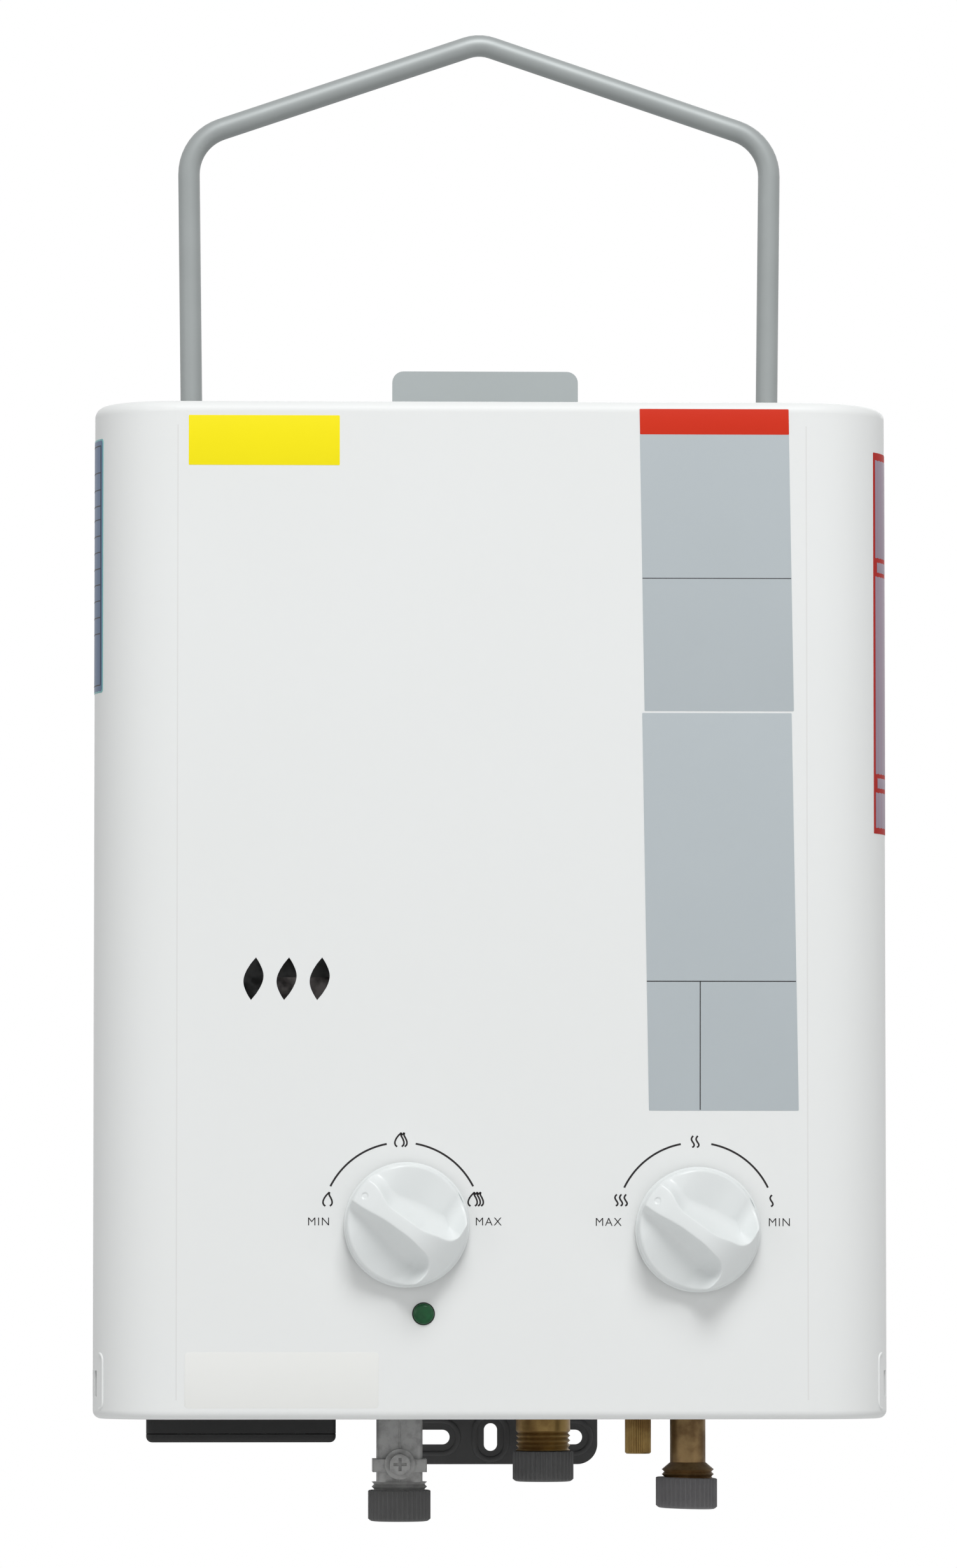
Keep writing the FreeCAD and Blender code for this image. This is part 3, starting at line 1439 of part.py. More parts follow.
def burner_bars():
    """Row of blade burners: a mixing tube, a thin neck and a slotted flame head."""
    head_base = bar_head_top - bar_head_height
    head_front = burner_front + burner_sheet
    head_back = burner_back - burner_sheet
    head = box(-bar_head_width / 2, bar_head_width / 2, head_front, head_back, head_base, bar_head_top)
    neck = box(-bar_neck / 2, bar_neck / 2, bar_tube_start + bar_tube_r, bar_tube_end,
               bar_axis_height, head_base + burner_sheet)
    tube = rod_y(bar_tube_r, bar_tube_start, bar_tube_end, 0, bar_axis_height)
    bore = rod_y(bar_tube_r - bar_tube_wall, bar_tube_start - sheet, bar_tube_end - bar_tube_wall,
                 0, bar_axis_height)
    bar = joined([head, neck, tube]).cut(bore)
    middle = (head_front + head_back) / 2
    for slot in range(flame_slot_count):
        y = middle + (slot - (flame_slot_count - 1) / 2) * flame_slot_pitch
        bar = bar.cut(
            box(-bar_head_width / 3, bar_head_width / 3, y - flame_slot / 2, y + flame_slot / 2,
                bar_head_top - flame_slot_depth, bar_head_top + sheet)
        )
    return Part.makeCompound([bar.translated(Vector(x, 0, 0)) for x in bar_xs])


def burner_frame():
    """Sheet frame: side plates, front and back strips, and two feet to the back plate."""
    half = burner_half_width
    pieces = []
    for side in (-1, 1):
        x0, x1 = sorted((side * half, side * (half - burner_sheet)))
        pieces.append(box(x0, x1, burner_front, burner_back, frame_base, chamber_base))
        pieces.append(box(x0, x1, manifold_front, burner_front, frame_ear_base, frame_ear_top))
        foot0, foot1 = sorted((side * foot_inner, side * foot_outer))
        pieces.append(
            box(foot0, foot1, burner_back - burner_sheet, panel_depth, foot_base, foot_base + foot_height)
        )
    pieces.append(
        box(-half, half, burner_front, burner_front + burner_sheet, frame_strip_base, bar_head_top)
    )
    pieces.append(box(-half, half, burner_back - burner_sheet, burner_back, frame_base, bar_head_top))
    pieces.append(
        box(electrode_plate_left, electrode_plate_right, burner_front, burner_front + burner_sheet,
            frame_strip_base, electrode_plate_top)
    )
    cutters = []
    for x in electrode_xs:
        cutters.append(rod_y(electrode_r, burner_front - sheet, burner_front + 2 * burner_sheet,
                             x, electrode_height))
    return without(joined(pieces), cutters)


def electrodes():
    """Spark electrode and flame sensor: a ceramic tube with a steel tip each."""
    rods = []
    for x in electrode_xs:
        ceramic = rod_y(electrode_r, electrode_front, electrode_back, x, electrode_height)
        tip = rod_y(electrode_tip_r, electrode_back, electrode_back + electrode_tip, x, electrode_height)
        rods.append(joined([ceramic, tip]))
    return Part.makeCompound(rods)


def gas_manifold():
    """Bar that feeds the nozzles, with the leg that stands on the gas valve's outlet."""
    reach = burner_half_width - burner_sheet
    middle_y = (manifold_front + manifold_back) / 2
    bar = box(-reach, reach, manifold_front, manifold_back, manifold_base, manifold_top)
    bar = rounded_edges(bar, sheet, 0)
    leg = box(manifold_leg_left, manifold_leg_right, manifold_front, manifold_back,
              valve_top, manifold_base + sheet)
    gallery = rod_x(outlet_bore_r, -reach + sheet * 2, reach - sheet * 2, middle_y, bar_axis_height)
    drop = rod_z(outlet_bore_r, valve_top - sheet, bar_axis_height, outlet_x, middle_y)
    cutters = [gallery, drop]
    for x in bar_xs:
        cutters.append(rod_y(2 * nozzle_bore_r, middle_y, manifold_back + sheet, x, bar_axis_height))
    return without(joined([bar, leg]), cutters)


def burner_nozzles():
    """Brass nozzles on the back of the manifold, one for each burner bar."""
    nozzles = []
    for x in bar_xs:
        base = hexagon_y(nozzle_hex, manifold_back, manifold_back + nozzle_base, x, bar_axis_height)
        tip = rod_y(nozzle_tip_r, manifold_back + nozzle_base - sheet,
                    manifold_back + nozzle_base + nozzle_tip, x, bar_axis_height)
        bore = rod_y(nozzle_bore_r, manifold_back - sheet, manifold_back + nozzle_base + 2 * nozzle_tip,
                     x, bar_axis_height)
        nozzles.append(joined([base, tip]).cut(bore))
    return Part.makeCompound(nozzles)


def igniter_module():
    """Plastic box on the back plate that makes the spark and watches the flame."""
    block = box(igniter_left, igniter_left + igniter_width, panel_depth - igniter_depth, panel_depth,
                igniter_base, igniter_base + igniter_height)
    return rounded_edges(block, igniter_edge, 1)


# --- heat exchanger -----------------------------------------------------------------------------------
def combustion_chamber():
    """Copper box with round corners, open above and below, with two tabs to the back plate."""
    half = burner_half_width
    outer = box(-half, half, burner_front, burner_back, chamber_base, chamber_top)
    outer = rounded_edges(outer, pipe_bend - pipe_r - pipe_gap, 2)
    hollow = box(-half + copper_sheet, half - copper_sheet, burner_front + copper_sheet,
                 burner_back - copper_sheet, chamber_base - sheet, chamber_top + sheet)
    hollow = rounded_edges(hollow, pipe_bend - pipe_r - pipe_gap - copper_sheet, 2)
    pieces = [outer.cut(hollow)]
    for side in (-1, 1):
        x0, x1 = sorted((side * chamber_tab_inner, side * chamber_tab_outer))
        pieces.append(
            box(x0, x1, burner_back - copper_sheet, panel_depth, chamber_top - chamber_tab, chamber_top)
        )
    return joined(pieces)


tube_end = burner_half_width + tube_overhang
coil_out_x = tube_end + pipe_bend


def coil_pipe():
    """Copper pipe from the water valve, three times round the chamber and up to the first tube."""
    front = burner_front - pipe_gap - pipe_r
    back = burner_back + pipe_gap + pipe_r
    height = coil_first_height
    points = [
        Vector(riser_x, riser_depth, riser_boss_top - pipe_r + running_gap),
        Vector(riser_x, riser_depth, height - coil_short_rise),
    ]
    for turn in range(coil_turns):
        points.append(Vector(riser_x, front, height))
        points.append(Vector(-riser_x, front, height + coil_long_rise))
        points.append(Vector(-riser_x, back, height + coil_long_rise + coil_short_rise))
        last_x = coil_out_x if turn == coil_turns - 1 else riser_x
        height = height + 2 * coil_long_rise + coil_short_rise
        points.append(Vector(last_x, back, height))
        height = height + coil_short_rise
    points.append(Vector(coil_out_x, tube_ys[0], height))
    points.append(Vector(coil_out_x, tube_ys[0], tube_height - pipe_bend))
    return pipe(points, [pipe_bend] * (len(points) - 2))


def exchanger_shell():
    """Copper box round the fins, open above and below, with the tubes through its ends."""
    half = burner_half_width
    outer = box(-half, half, burner_front, burner_back, chamber_top, shell_top)
    hollow = box(-half + copper_sheet, half - copper_sheet, burner_front + copper_sheet,
                 burner_back - copper_sheet, chamber_top - sheet, shell_top + sheet)
    tubes = [rod_x(pipe_r, -half - sheet, half + sheet, y, tube_height) for y in tube_ys]
    return without(outer.cut(hollow), tubes)


def exchanger_fins():
    """Thin copper fins that the tubes pass through."""
    base = tube_height - fin_height / 2
    front = burner_front + fin_gap
    back = burner_back - fin_gap
    fin = box(-fin_sheet / 2, fin_sheet / 2, front, back, base, base + fin_height)
    fin = without(fin, [rod_x(pipe_r, -fin_sheet, fin_sheet, y, tube_height) for y in tube_ys])
    fins = []
    for index in range(fin_count):
        fins.append(fin.translated(Vector((index - (fin_count - 1) / 2) * fin_pitch, 0, 0)))
    return Part.makeCompound(fins)


def straight_tubes():
    """The four straight copper tubes that the fins sit on."""
    tubes = []
    for y in tube_ys:
        outer = rod_x(pipe_r, -tube_end, tube_end, y, tube_height)
        tubes.append(outer.cut(rod_x(pipe_r - pipe_wall, -tube_end, tube_end, y, tube_height)))
    return tubes


def return_bend(x, way, y0, y1):
    """Half-ring of copper pipe that joins two neighbouring tubes; way is 1 or -1 along x."""
    middle = (y0 + y1) / 2
    radius = (y1 - y0) / 2
    arc = Part.Arc(Vector(x, y0, tube_height), Vector(x + way * radius, middle, tube_height),
                   Vector(x, y1, tube_height))
    path = Part.Wire([arc.toShape()])
    ends = []
    for size in (pipe_r, pipe_r - pipe_wall):
        ring = Part.Wire([Part.makeCircle(size, Vector(x, y0, tube_height), Vector(way, 0, 0))])
        ends.append(path.makePipeShell([ring], True, False))
    return ends[0].cut(ends[1])


def exchanger_tubes():
    """The tubes through the fins, brazed end to end by return bends, with the elbow from the coil."""
    bends = [
        return_bend(-tube_end, -1, tube_ys[0], tube_ys[1]),
        return_bend(tube_end, 1, tube_ys[1], tube_ys[2]),
        return_bend(-tube_end, -1, tube_ys[2], tube_ys[3]),
    ]
    corner = Vector(coil_out_x, tube_ys[0], tube_height)
    bow = pipe_bend * (1 - math.sqrt(0.5))
    arc = Part.Arc(corner - Vector(pipe_bend, 0, 0), corner - Vector(bow, 0, bow),
                   corner - Vector(0, 0, pipe_bend))
    path = Part.Wire([arc.toShape()])
    sizes = []
    for size in (pipe_r, pipe_r - pipe_wall):
        ring = Part.Wire([Part.makeCircle(size, corner - Vector(pipe_bend, 0, 0), Vector(1, 0, 0))])
        sizes.append(path.makePipeShell([ring], True, False))
    bends.append(sizes[0].cut(sizes[1]))
    return joined(straight_tubes() + bends)


def hot_pipe():
    """Copper pipe from the last tube, down the side and across to the hot outlet."""
    points = [
        Vector(tube_end, tube_ys[-1], tube_height),
        Vector(hot_riser_x, tube_ys[-1], tube_height),
        Vector(hot_riser_x, hot_depth, hot_run_height),
        Vector(hot_x, hot_depth, hot_run_height),
        Vector(hot_x, hot_depth, hot_body_top + running_gap),
    ]
    return pipe(points, [pipe_bend] * 3)


def flue_hood():
    """Stainless hood that gathers the burnt gas and leads it to the top opening."""
    shapes = []
    top = hood_top
    for inset in (0, hood_sheet):
        half = burner_half_width - inset
        low = Part.makePolygon([
            Vector(-half, burner_front + inset, shell_top), Vector(half, burner_front + inset, shell_top),
            Vector(half, burner_back - inset, shell_top), Vector(-half, burner_back - inset, shell_top),
            Vector(-half, burner_front + inset, shell_top),
        ])
        neck = flue_half_width - inset
        rim = top - flue_neck
        high = Part.makePolygon([
            Vector(-neck, flue_front + inset, rim), Vector(neck, flue_front + inset, rim),
            Vector(neck, flue_back - inset, rim), Vector(-neck, flue_back - inset, rim),
            Vector(-neck, flue_front + inset, rim),
        ])
        cone = Part.makeLoft([low, high], True)
        collar = box(-neck, neck, flue_front + inset, flue_back - inset, rim, top)
        shapes.append(joined([cone, collar]))
    return shapes[0].cut(shapes[1])


def overheat_switch():
    """Round cut-out switch on the front of the exchanger shell."""
    disc = rod_y(overheat_r, burner_front - overheat_depth, burner_front, overheat_x, tube_height)
    blades = []
    for side in (-1, 1):
        x = overheat_x + side * overheat_r / 2
        blades.append(
            box(x - sheet, x + sheet, burner_front - 2 * overheat_depth,
                burner_front - overheat_depth + sheet, tube_height - 2 * sheet, tube_height + 2 * sheet)
        )
    return joined([disc] + blades)


# --- build and save -----------------------------------------------------------------------------------
def main():
    """Builds every piece and writes its STEP file."""
    os.makedirs(PARTS, exist_ok=True)
    caps = {
        "gas_cap": (gas_inlet_x, fitting_depth, gas_cap_r, gas_cap_top, gas_cap_bottom,
                    gas_thread_r + cap_fit_gap),
        "hot_cap": (hot_x, hot_depth, hot_cap_r, hot_cap_top, hot_cap_bottom, hot_r + cap_fit_gap),
        "cold_cap": (cold_inlet_x, fitting_depth, cold_cap_r, cold_cap_top, cold_cap_bottom,
                     cold_thread_r + cap_fit_gap),
    }
    pieces = {
        "front_cover": front_cover(),
        "flue_grille": flue_grille(),
        "back_plate": back_plate(),
        "bottom_plate": bottom_plate(),
        "case_rivets": case_rivets(),
        "cover_screws": cover_screws(),
        "hang_bracket": hang_bracket(),
        "lower_bracket": lower_bracket(),
        "handle_brackets": handle_brackets(),
        "handle_bail": handle_bail(),
        "handle_clips": handle_clips(),
        "gas_knob": knob(gas_knob_x, gas_knob_height),
        "water_knob": knob(water_knob_x, water_knob_height),
        "gas_spindle": spindle(gas_knob_x, gas_knob_height, valve_front),
        "water_spindle": spindle(water_knob_x, water_knob_height, valve_front),
        "indicator_lens": indicator_lens(),
        "indicator_holder": indicator_holder(),
        "battery_box": battery_box(),
        "battery_door": battery_door(),
        "door_contact": door_contact(),
        "battery_cells": battery_cells(),
        "cell_contacts": cell_contacts(),
        "gas_inlet_neck": gas_inlet_neck(),
        "test_point_screw": test_point_screw(),
        "gas_valve_body": gas_valve_body(),
        "bore_plug": bore_plug(),
        "solenoid_valve": solenoid_valve(),
        "gas_poppet": gas_poppet(),
        "push_rod": push_rod(),
        "valve_screws": valve_screws(),
        "micro_switch": micro_switch(),
        "switch_lever": switch_lever(),
        "water_valve_body": water_valve_body(),
        "diaphragm": diaphragm(),
        "diaphragm_cover": diaphragm_cover(),
        "cold_inlet_tube": cold_inlet_tube(),
        "drain_plug": drain_plug(),
        "drain_seal": drain_seal(),
        "hot_outlet_fitting": hot_outlet_fitting(),
        "union_nuts": union_nuts(),
        "burner_bars": burner_bars(),
        "burner_frame": burner_frame(),
        "electrodes": electrodes(),
        "gas_manifold": gas_manifold(),
        "burner_nozzles": burner_nozzles(),
        "igniter_module": igniter_module(),
        "combustion_chamber": combustion_chamber(),
        "coil_pipe": coil_pipe(),
        "exchanger_shell": exchanger_shell(),
        "exchanger_fins": exchanger_fins(),
        "exchanger_tubes": exchanger_tubes(),
        "hot_pipe": hot_pipe(),
        "flue_hood": flue_hood(),
        "overheat_switch": overheat_switch(),
    }
    for name, (x, y, radius, top, bottom, bore_r) in caps.items():
        pieces[name] = cap(x, y, radius, top, bottom, bore_r)
    thread_ends = {"gas_cap": gas_cap_bottom, "hot_cap": hot_cap_bottom, "cold_cap": cold_cap_bottom}
    for name, bottom in thread_ends.items():
        x, y, radius, top, low, bore_r = caps[name]
        pieces[name + "_washer"] = cap_washer(x, y, bottom, bore_r)
    for name, shape in pieces.items():
        if not shape.isValid():
            print("not valid:", name)
        print(f"{name}: {len(shape.Solids)} solid(s), {shape.Volume:.0f} mm3")
        save(name, shape)


main()
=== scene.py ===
# %% [markdown]
# # Dressing a portable gas water heater
# The heater is already built as solids: sheet-metal case, bail handle, valves, burner and copper coil.
# Here it gets its finishes, and a few pieces whose form is easier to describe with a formula than with
# solids: the scooped knobs, the ribbed transport caps, the dial printing and the stickers.
# The first cell loads the solids. They stand where they belong, in metres, and are never moved.

# %% Load the solids
import math

import bmesh
import bpy
import numpy as np
from mathutils import Matrix, Vector


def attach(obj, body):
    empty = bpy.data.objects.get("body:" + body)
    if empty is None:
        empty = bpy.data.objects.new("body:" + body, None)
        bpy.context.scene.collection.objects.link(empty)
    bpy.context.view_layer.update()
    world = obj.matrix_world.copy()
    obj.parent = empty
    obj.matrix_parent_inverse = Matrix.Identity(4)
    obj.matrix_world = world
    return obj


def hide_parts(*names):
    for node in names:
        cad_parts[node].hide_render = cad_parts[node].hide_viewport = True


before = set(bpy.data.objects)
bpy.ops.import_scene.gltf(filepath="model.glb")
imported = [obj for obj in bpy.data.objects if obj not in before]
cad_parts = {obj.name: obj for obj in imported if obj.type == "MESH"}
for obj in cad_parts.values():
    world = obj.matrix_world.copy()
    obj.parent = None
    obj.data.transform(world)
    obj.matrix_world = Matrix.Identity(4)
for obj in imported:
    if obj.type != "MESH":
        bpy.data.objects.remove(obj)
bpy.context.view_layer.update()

# %% [markdown]
# ## Measuring in the maker's own frame
# A sheet-metal shop measures this heater from the front face and from the underside of the case, in
# millimetres. The solids use the hanging hole on the wall as their origin, in metres. One helper turns
# the first into the second, so that every number below can be read off a shop drawing.

# %% From shop millimetres to scene metres
HOLE_DEPTH = 129.0
HOLE_HEIGHT = 375.5


def to_scene(points):
    """(x, depth, height) in case millimetres -> (x, depth - 129, height - 375.5) / 1000 in metres."""
    return (np.asarray(points, dtype=float) - np.array([0.0, HOLE_DEPTH, HOLE_HEIGHT])) / 1000.0


print("underside of the case lies at z =", round(float(to_scene([0, 0, 0])[2]), 4), "m")

# %% [markdown]
# ## Surfaces from arrays
# Every new piece is a grid of points worked out by a formula: one direction runs along a profile, the
# other round the piece or along a path. A mesh also needs to know which points make a face, so this
# helper numbers the grid's quads. It does so for the whole grid at once, without a loop.

# %% Number the quads of a grid
def grid_quads(rows, columns, wrap_rows=False, wrap_columns=False):
    """Quad (r, c) joins points (r, c), (r+1, c), (r+1, c+1) and (r, c+1); a wrapped side goes back to 0."""
    row = np.arange(rows if wrap_rows else rows - 1)
    column = np.arange(columns if wrap_columns else columns - 1)
    r, c = np.meshgrid(row, column, indexing="ij")
    next_r = (r + 1) % rows
    next_c = (c + 1) % columns
    corners = [r * columns + c, next_r * columns + c, next_r * columns + next_c, r * columns + next_c]
    return np.stack(corners, axis=-1).reshape(-1, 4)


print("a grid of 3 by 4 points has", len(grid_quads(3, 4)), "quads")

# %% [markdown]
# ## From arrays to a piece
# The first helper hangs a mesh on the body that it moves with, so that a knob's skin turns with its
# knob. The second joins grids into one mesh, welds the seams and poles, turns the faces outwards and
# shades them smooth. Edges that bend more than the crease angle stay crisp.

# %% Make a mesh and hang it on its body
WELD = 2e-6
SLIVER = 1e-6


def add_piece(name, mesh, body, finish):
    """The mesh and its finish become an object at the origin that rides on a body."""
    piece = bpy.data.objects.new(name, mesh)
    bpy.context.scene.collection.objects.link(piece)
    mesh.materials.append(finish)
    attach(piece, body)
    print(name, "has", len(mesh.polygons), "faces")
    return piece


def make_piece(name, grids, body, finish, crease=35.0):
    """Each grid is (points[rows, columns, 3] in case mm, wrap_rows, wrap_columns); all join one mesh."""
    all_points, all_quads, start = [], [], 0
    for points, wrap_rows, wrap_columns in grids:
        rows, columns = points.shape[:2]
        all_points.append(points.reshape(-1, 3))
        all_quads.append(grid_quads(rows, columns, wrap_rows, wrap_columns) + start)
        start += rows * columns
    mesh = bpy.data.meshes.new(name)
    mesh.from_pydata(to_scene(np.concatenate(all_points)), [], np.concatenate(all_quads))
    shell = bmesh.new()
    shell.from_mesh(mesh)
    bmesh.ops.remove_doubles(shell, verts=shell.verts, dist=WELD)
    bmesh.ops.dissolve_degenerate(shell, edges=shell.edges, dist=SLIVER)
    bmesh.ops.recalc_face_normals(shell, faces=shell.faces)
    shell.to_mesh(mesh)
    shell.free()
    mesh.shade_smooth()
    mesh.set_sharp_from_angle(angle=math.radians(crease))
    return add_piece(name, mesh, body, finish)


print("points closer than", WELD * 1000.0, "mm are welded")

# %% [markdown]
# ## Effects that several finishes share
# Real paint has a faint orange peel, rolled steel has a grain, and old brass has darker patches. Each
# of these effects is a node group, built once. A group gives out only a height or a mask; the finish
# decides what to do with it. All of them read Object coordinates, so the pattern sits in the metal.

# %% Helpers for node trees
def open_group(name, inputs, outputs):
    """A group with named number inputs (name, value) and outputs; also gives its Object coordinates."""
    group = bpy.data.node_groups.new(name, "ShaderNodeTree")
    for label, value in inputs:
        socket = group.interface.new_socket(label, in_out="INPUT", socket_type="NodeSocketFloat")
        socket.default_value = value
    for label in outputs:
        group.interface.new_socket(label, in_out="OUTPUT", socket_type="NodeSocketFloat")
    start = group.nodes.new("NodeGroupInput")
    end = group.nodes.new("NodeGroupOutput")
    where = group.nodes.new("ShaderNodeTexCoord").outputs["Object"]
    return group, start, end, where


def calculate(tree, kind, operation, *sources):
    """A Math or VectorMath node whose inputs take the given outputs, in their order."""
    node = tree.nodes.new("ShaderNode" + kind)
    node.operation = operation
    for place, source in enumerate(sources):
        tree.links.new(source, node.inputs[place])
    return node


def noise(tree, vector, scale, detail, roughness=0.5):
    """A noise texture on a vector; scale may be a number or a socket."""
    node = tree.nodes.new("ShaderNodeTexNoise")
    node.inputs["Detail"].default_value = detail
    node.inputs["Roughness"].default_value = roughness
    tree.links.new(vector, node.inputs["Vector"])
    if isinstance(scale, (int, float)):
        node.inputs["Scale"].default_value = scale
    else:
        tree.links.new(scale, node.inputs["Scale"])
    return node.outputs["Fac"]


print("node groups before the first effect:", len(bpy.data.node_groups))

# %% Peel, grain and patches
SLOW_GRAIN = 0.35


def paint_peel():
    """Height: fine noise, the orange peel. Tone: slow noise, 0 to 1, for uneven colour."""
    group, start, end, where = open_group(
        "paint peel", [("Peel per metre", 700.0), ("Tone per metre", 9.0)], ["Height", "Tone"]
    )
    group.links.new(noise(group, where, start.outputs["Peel per metre"], 2.0), end.inputs["Height"])
    group.links.new(noise(group, where, start.outputs["Tone per metre"], 3.0), end.inputs["Tone"])
    return group


def metal_grain():
    """Noise squeezed across the grain: long thin streaks along the axis with the smallest number."""
    group, start, end, where = open_group(
        "metal grain", [("Across x", 1800.0), ("Across y", 1800.0), ("Across z", 60.0)], ["Height", "Tone"]
    )
    scale = group.nodes.new("ShaderNodeCombineXYZ")
    for axis in "xyz":
        group.links.new(start.outputs["Across " + axis], scale.inputs[axis.upper()])
    stretch = calculate(group, "VectorMath", "MULTIPLY", where, scale.outputs["Vector"]).outputs["Vector"]
    group.links.new(noise(group, stretch, 1.0, 2.0), end.inputs["Height"])
    group.links.new(noise(group, stretch, SLOW_GRAIN, 1.0), end.inputs["Tone"])
    return group


def worn_patches():
    """Mask: cloudy noise pushed apart so that it reads as stains. Speck: small dark spots."""
    group, start, end, where = open_group(
        "worn patches", [("Patches per metre", 120.0), ("Specks per metre", 1500.0)], ["Mask", "Speck"]
    )
    for label, source, low, high in (
        ("Mask", "Patches per metre", 0.38, 0.66),
        ("Speck", "Specks per metre", 0.55, 0.75),
    ):
        spread = group.nodes.new("ShaderNodeMapRange")
        spread.interpolation_type = "SMOOTHSTEP"
        spread.inputs["From Min"].default_value = low
        spread.inputs["From Max"].default_value = high
        group.links.new(noise(group, where, start.outputs[source], 5.0, 0.6), spread.inputs["Value"])
        group.links.new(spread.outputs["Result"], end.inputs[label])
    return group


# Each effect: its group, the output that makes dents and the output that mixes the two tones.
effects = {
    "peel": (paint_peel(), "Height", "Tone"),
    "grain": (metal_grain(), "Height", "Tone"),
    "patches": (worn_patches(), "Speck", "Mask"),
}
print("node groups:", ", ".join(effects))

# %% [markdown]
# ## A helper for finishes
# A finish is one Principled shader. Its colour moves between two close tones where the effect says so,
# its roughness does the same, and a Bump node turns the effect's height into tiny dents. Numbers that
# are the same all over the surface are written straight onto the shader.

# %% Build a finish
def rgb(red, green, blue):
    """Screen values 0-255 -> linear colour, by the usual sRGB curve."""
    screen = np.array([red, green, blue]) / 255.0
    linear = np.where(screen <= 0.04045, screen / 12.92, ((screen + 0.055) / 1.055) ** 2.4)
    return (*linear.tolist(), 1.0)


def finish(name, light, dark, rough, effect, settings, bump, depth=0.00002, metallic=0.0, specular=0.5):
    """light and dark are the two tones, rough the two roughnesses; the effect's tone mixes both pairs."""
    group, height, tone = effects[effect]
    material = bpy.data.materials.new(name)
    material.use_nodes = True
    tree = material.node_tree
    shader = tree.nodes["Principled BSDF"]
    shader.inputs["Metallic"].default_value = metallic
    shader.inputs["Specular IOR Level"].default_value = specular
    source = tree.nodes.new("ShaderNodeGroup")
    source.node_tree = group
    for label, value in settings.items():
        source.inputs[label].default_value = value
    colour = tree.nodes.new("ShaderNodeMix")
    colour.data_type = "RGBA"
    colour.inputs["A"].default_value = rgb(*light)
    colour.inputs["B"].default_value = rgb(*dark)
    tree.links.new(source.outputs[tone], colour.inputs["Factor"])
    tree.links.new(colour.outputs["Result"], shader.inputs["Base Color"])
    gloss = tree.nodes.new("ShaderNodeMapRange")
    gloss.inputs["To Min"].default_value = rough[0]
    gloss.inputs["To Max"].default_value = rough[1]
    tree.links.new(source.outputs[tone], gloss.inputs["Value"])
    tree.links.new(gloss.outputs["Result"], shader.inputs["Roughness"])
    dent = tree.nodes.new("ShaderNodeBump")
    dent.inputs["Strength"].default_value = bump
    dent.inputs["Distance"].default_value = depth
    tree.links.new(source.outputs[height], dent.inputs["Height"])
    tree.links.new(dent.outputs["Normal"], shader.inputs["Normal"])
    return material


print("screen grey 234 is", round(rgb(234, 234, 234)[0], 3), "in linear light")

# %% [markdown]
# ## Paints and plastics
# The case is white powder paint, slightly glossy. The handle and the hanging tab are silver paint. The
# caps, the battery box and the lower bracket are black with a fine grain. Each line gives two tones,
# two roughnesses, how many dents and how many clouds of tone a metre holds, and the dents' strength.

# %% Mix the paints and plastics
def coated(name, light, dark, rough, peel, tone, bump, **more):
    """A paint or a plastic: the peel effect with its own two scales."""
    return finish(name, light, dark, rough, "peel", {"Peel per metre": peel, "Tone per metre": tone}, bump,
                  **more)


white_paint = coated("white powder paint", (234, 236, 236), (230, 232, 231), (0.42, 0.48), 620.0, 7.0, 0.1,
                     specular=0.25)
silver_paint = coated("silver paint", (158, 163, 163), (149, 154, 154), (0.46, 0.54), 2600.0, 60.0, 0.12,
                      depth=0.00001, metallic=0.35)
tab_paint = coated("silver tab paint", (176, 183, 184), (168, 175, 176), (0.34, 0.42), 1800.0, 25.0, 0.12,
                   depth=0.00001, metallic=0.3)
black_paint = coated("black satin paint", (76, 76, 76), (62, 62, 62), (0.42, 0.55), 1400.0, 70.0, 0.25,
                     specular=0.3)
knob_plastic = coated("satin white plastic", (228, 232, 232), (225, 229, 229), (0.3, 0.34), 350.0, 30.0,
                      0.03, specular=0.4)
box_plastic = coated("black box plastic", (46, 46, 46), (38, 38, 38), (0.5, 0.62), 3800.0, 40.0, 0.3,
                     specular=0.28)
cap_plastic = coated("soft black cap plastic", (98, 98, 98), (87, 87, 87), (0.55, 0.7), 5200.0, 140.0, 0.35,
                     specular=0.25)
# The cold cap gets a lighter copy of the cap plastic, so it renders lighter than the other caps.
lighter_cap_plastic = coated("lighter black cap plastic", (116, 115, 116), (101, 100, 102), (0.58, 0.72), 5200.0,
                       140.0, 0.35, specular=0.25)
lens_plastic = coated("dark green lens", (14, 92, 47), (5, 54, 28), (0.16, 0.24), 500.0, 400.0, 0.05,
                      specular=0.3)
rubber_black = coated("black rubber", (34, 34, 34), (24, 24, 24), (0.7, 0.85), 3000.0, 9.0, 0.3, specular=0.2)
ceramic_white = coated("glazed ceramic", (232, 231, 226), (222, 220, 212), (0.12, 0.2), 900.0, 9.0, 0.05)
jacket_film = coated("cell jacket", (52, 54, 60), (44, 46, 50), (0.3, 0.4), 900.0, 9.0, 0.05)
print("paints and plastics:", len(bpy.data.materials), "materials so far")

# %% [markdown]
# ## Metals
# The back and the shelf are zinc-plated sheet, and the fittings are brass that has dulled in patches.
# Soot on the burner, stains on the brass and the crystals of the zinc are all the same cloudy mask at
# another scale. Only the flue's satin steel has a grain instead: its streaks run along x.

# %% Mix the metals
def stained(name, light, dark, rough, patches, bump, metallic, specks=1500.0, depth=0.00002):
    """A metal whose two tones meet in cloudy patches, with small specks as dents."""
    return finish(name, light, dark, rough, "patches",
                  {"Patches per metre": patches, "Specks per metre": specks}, bump, depth, metallic)


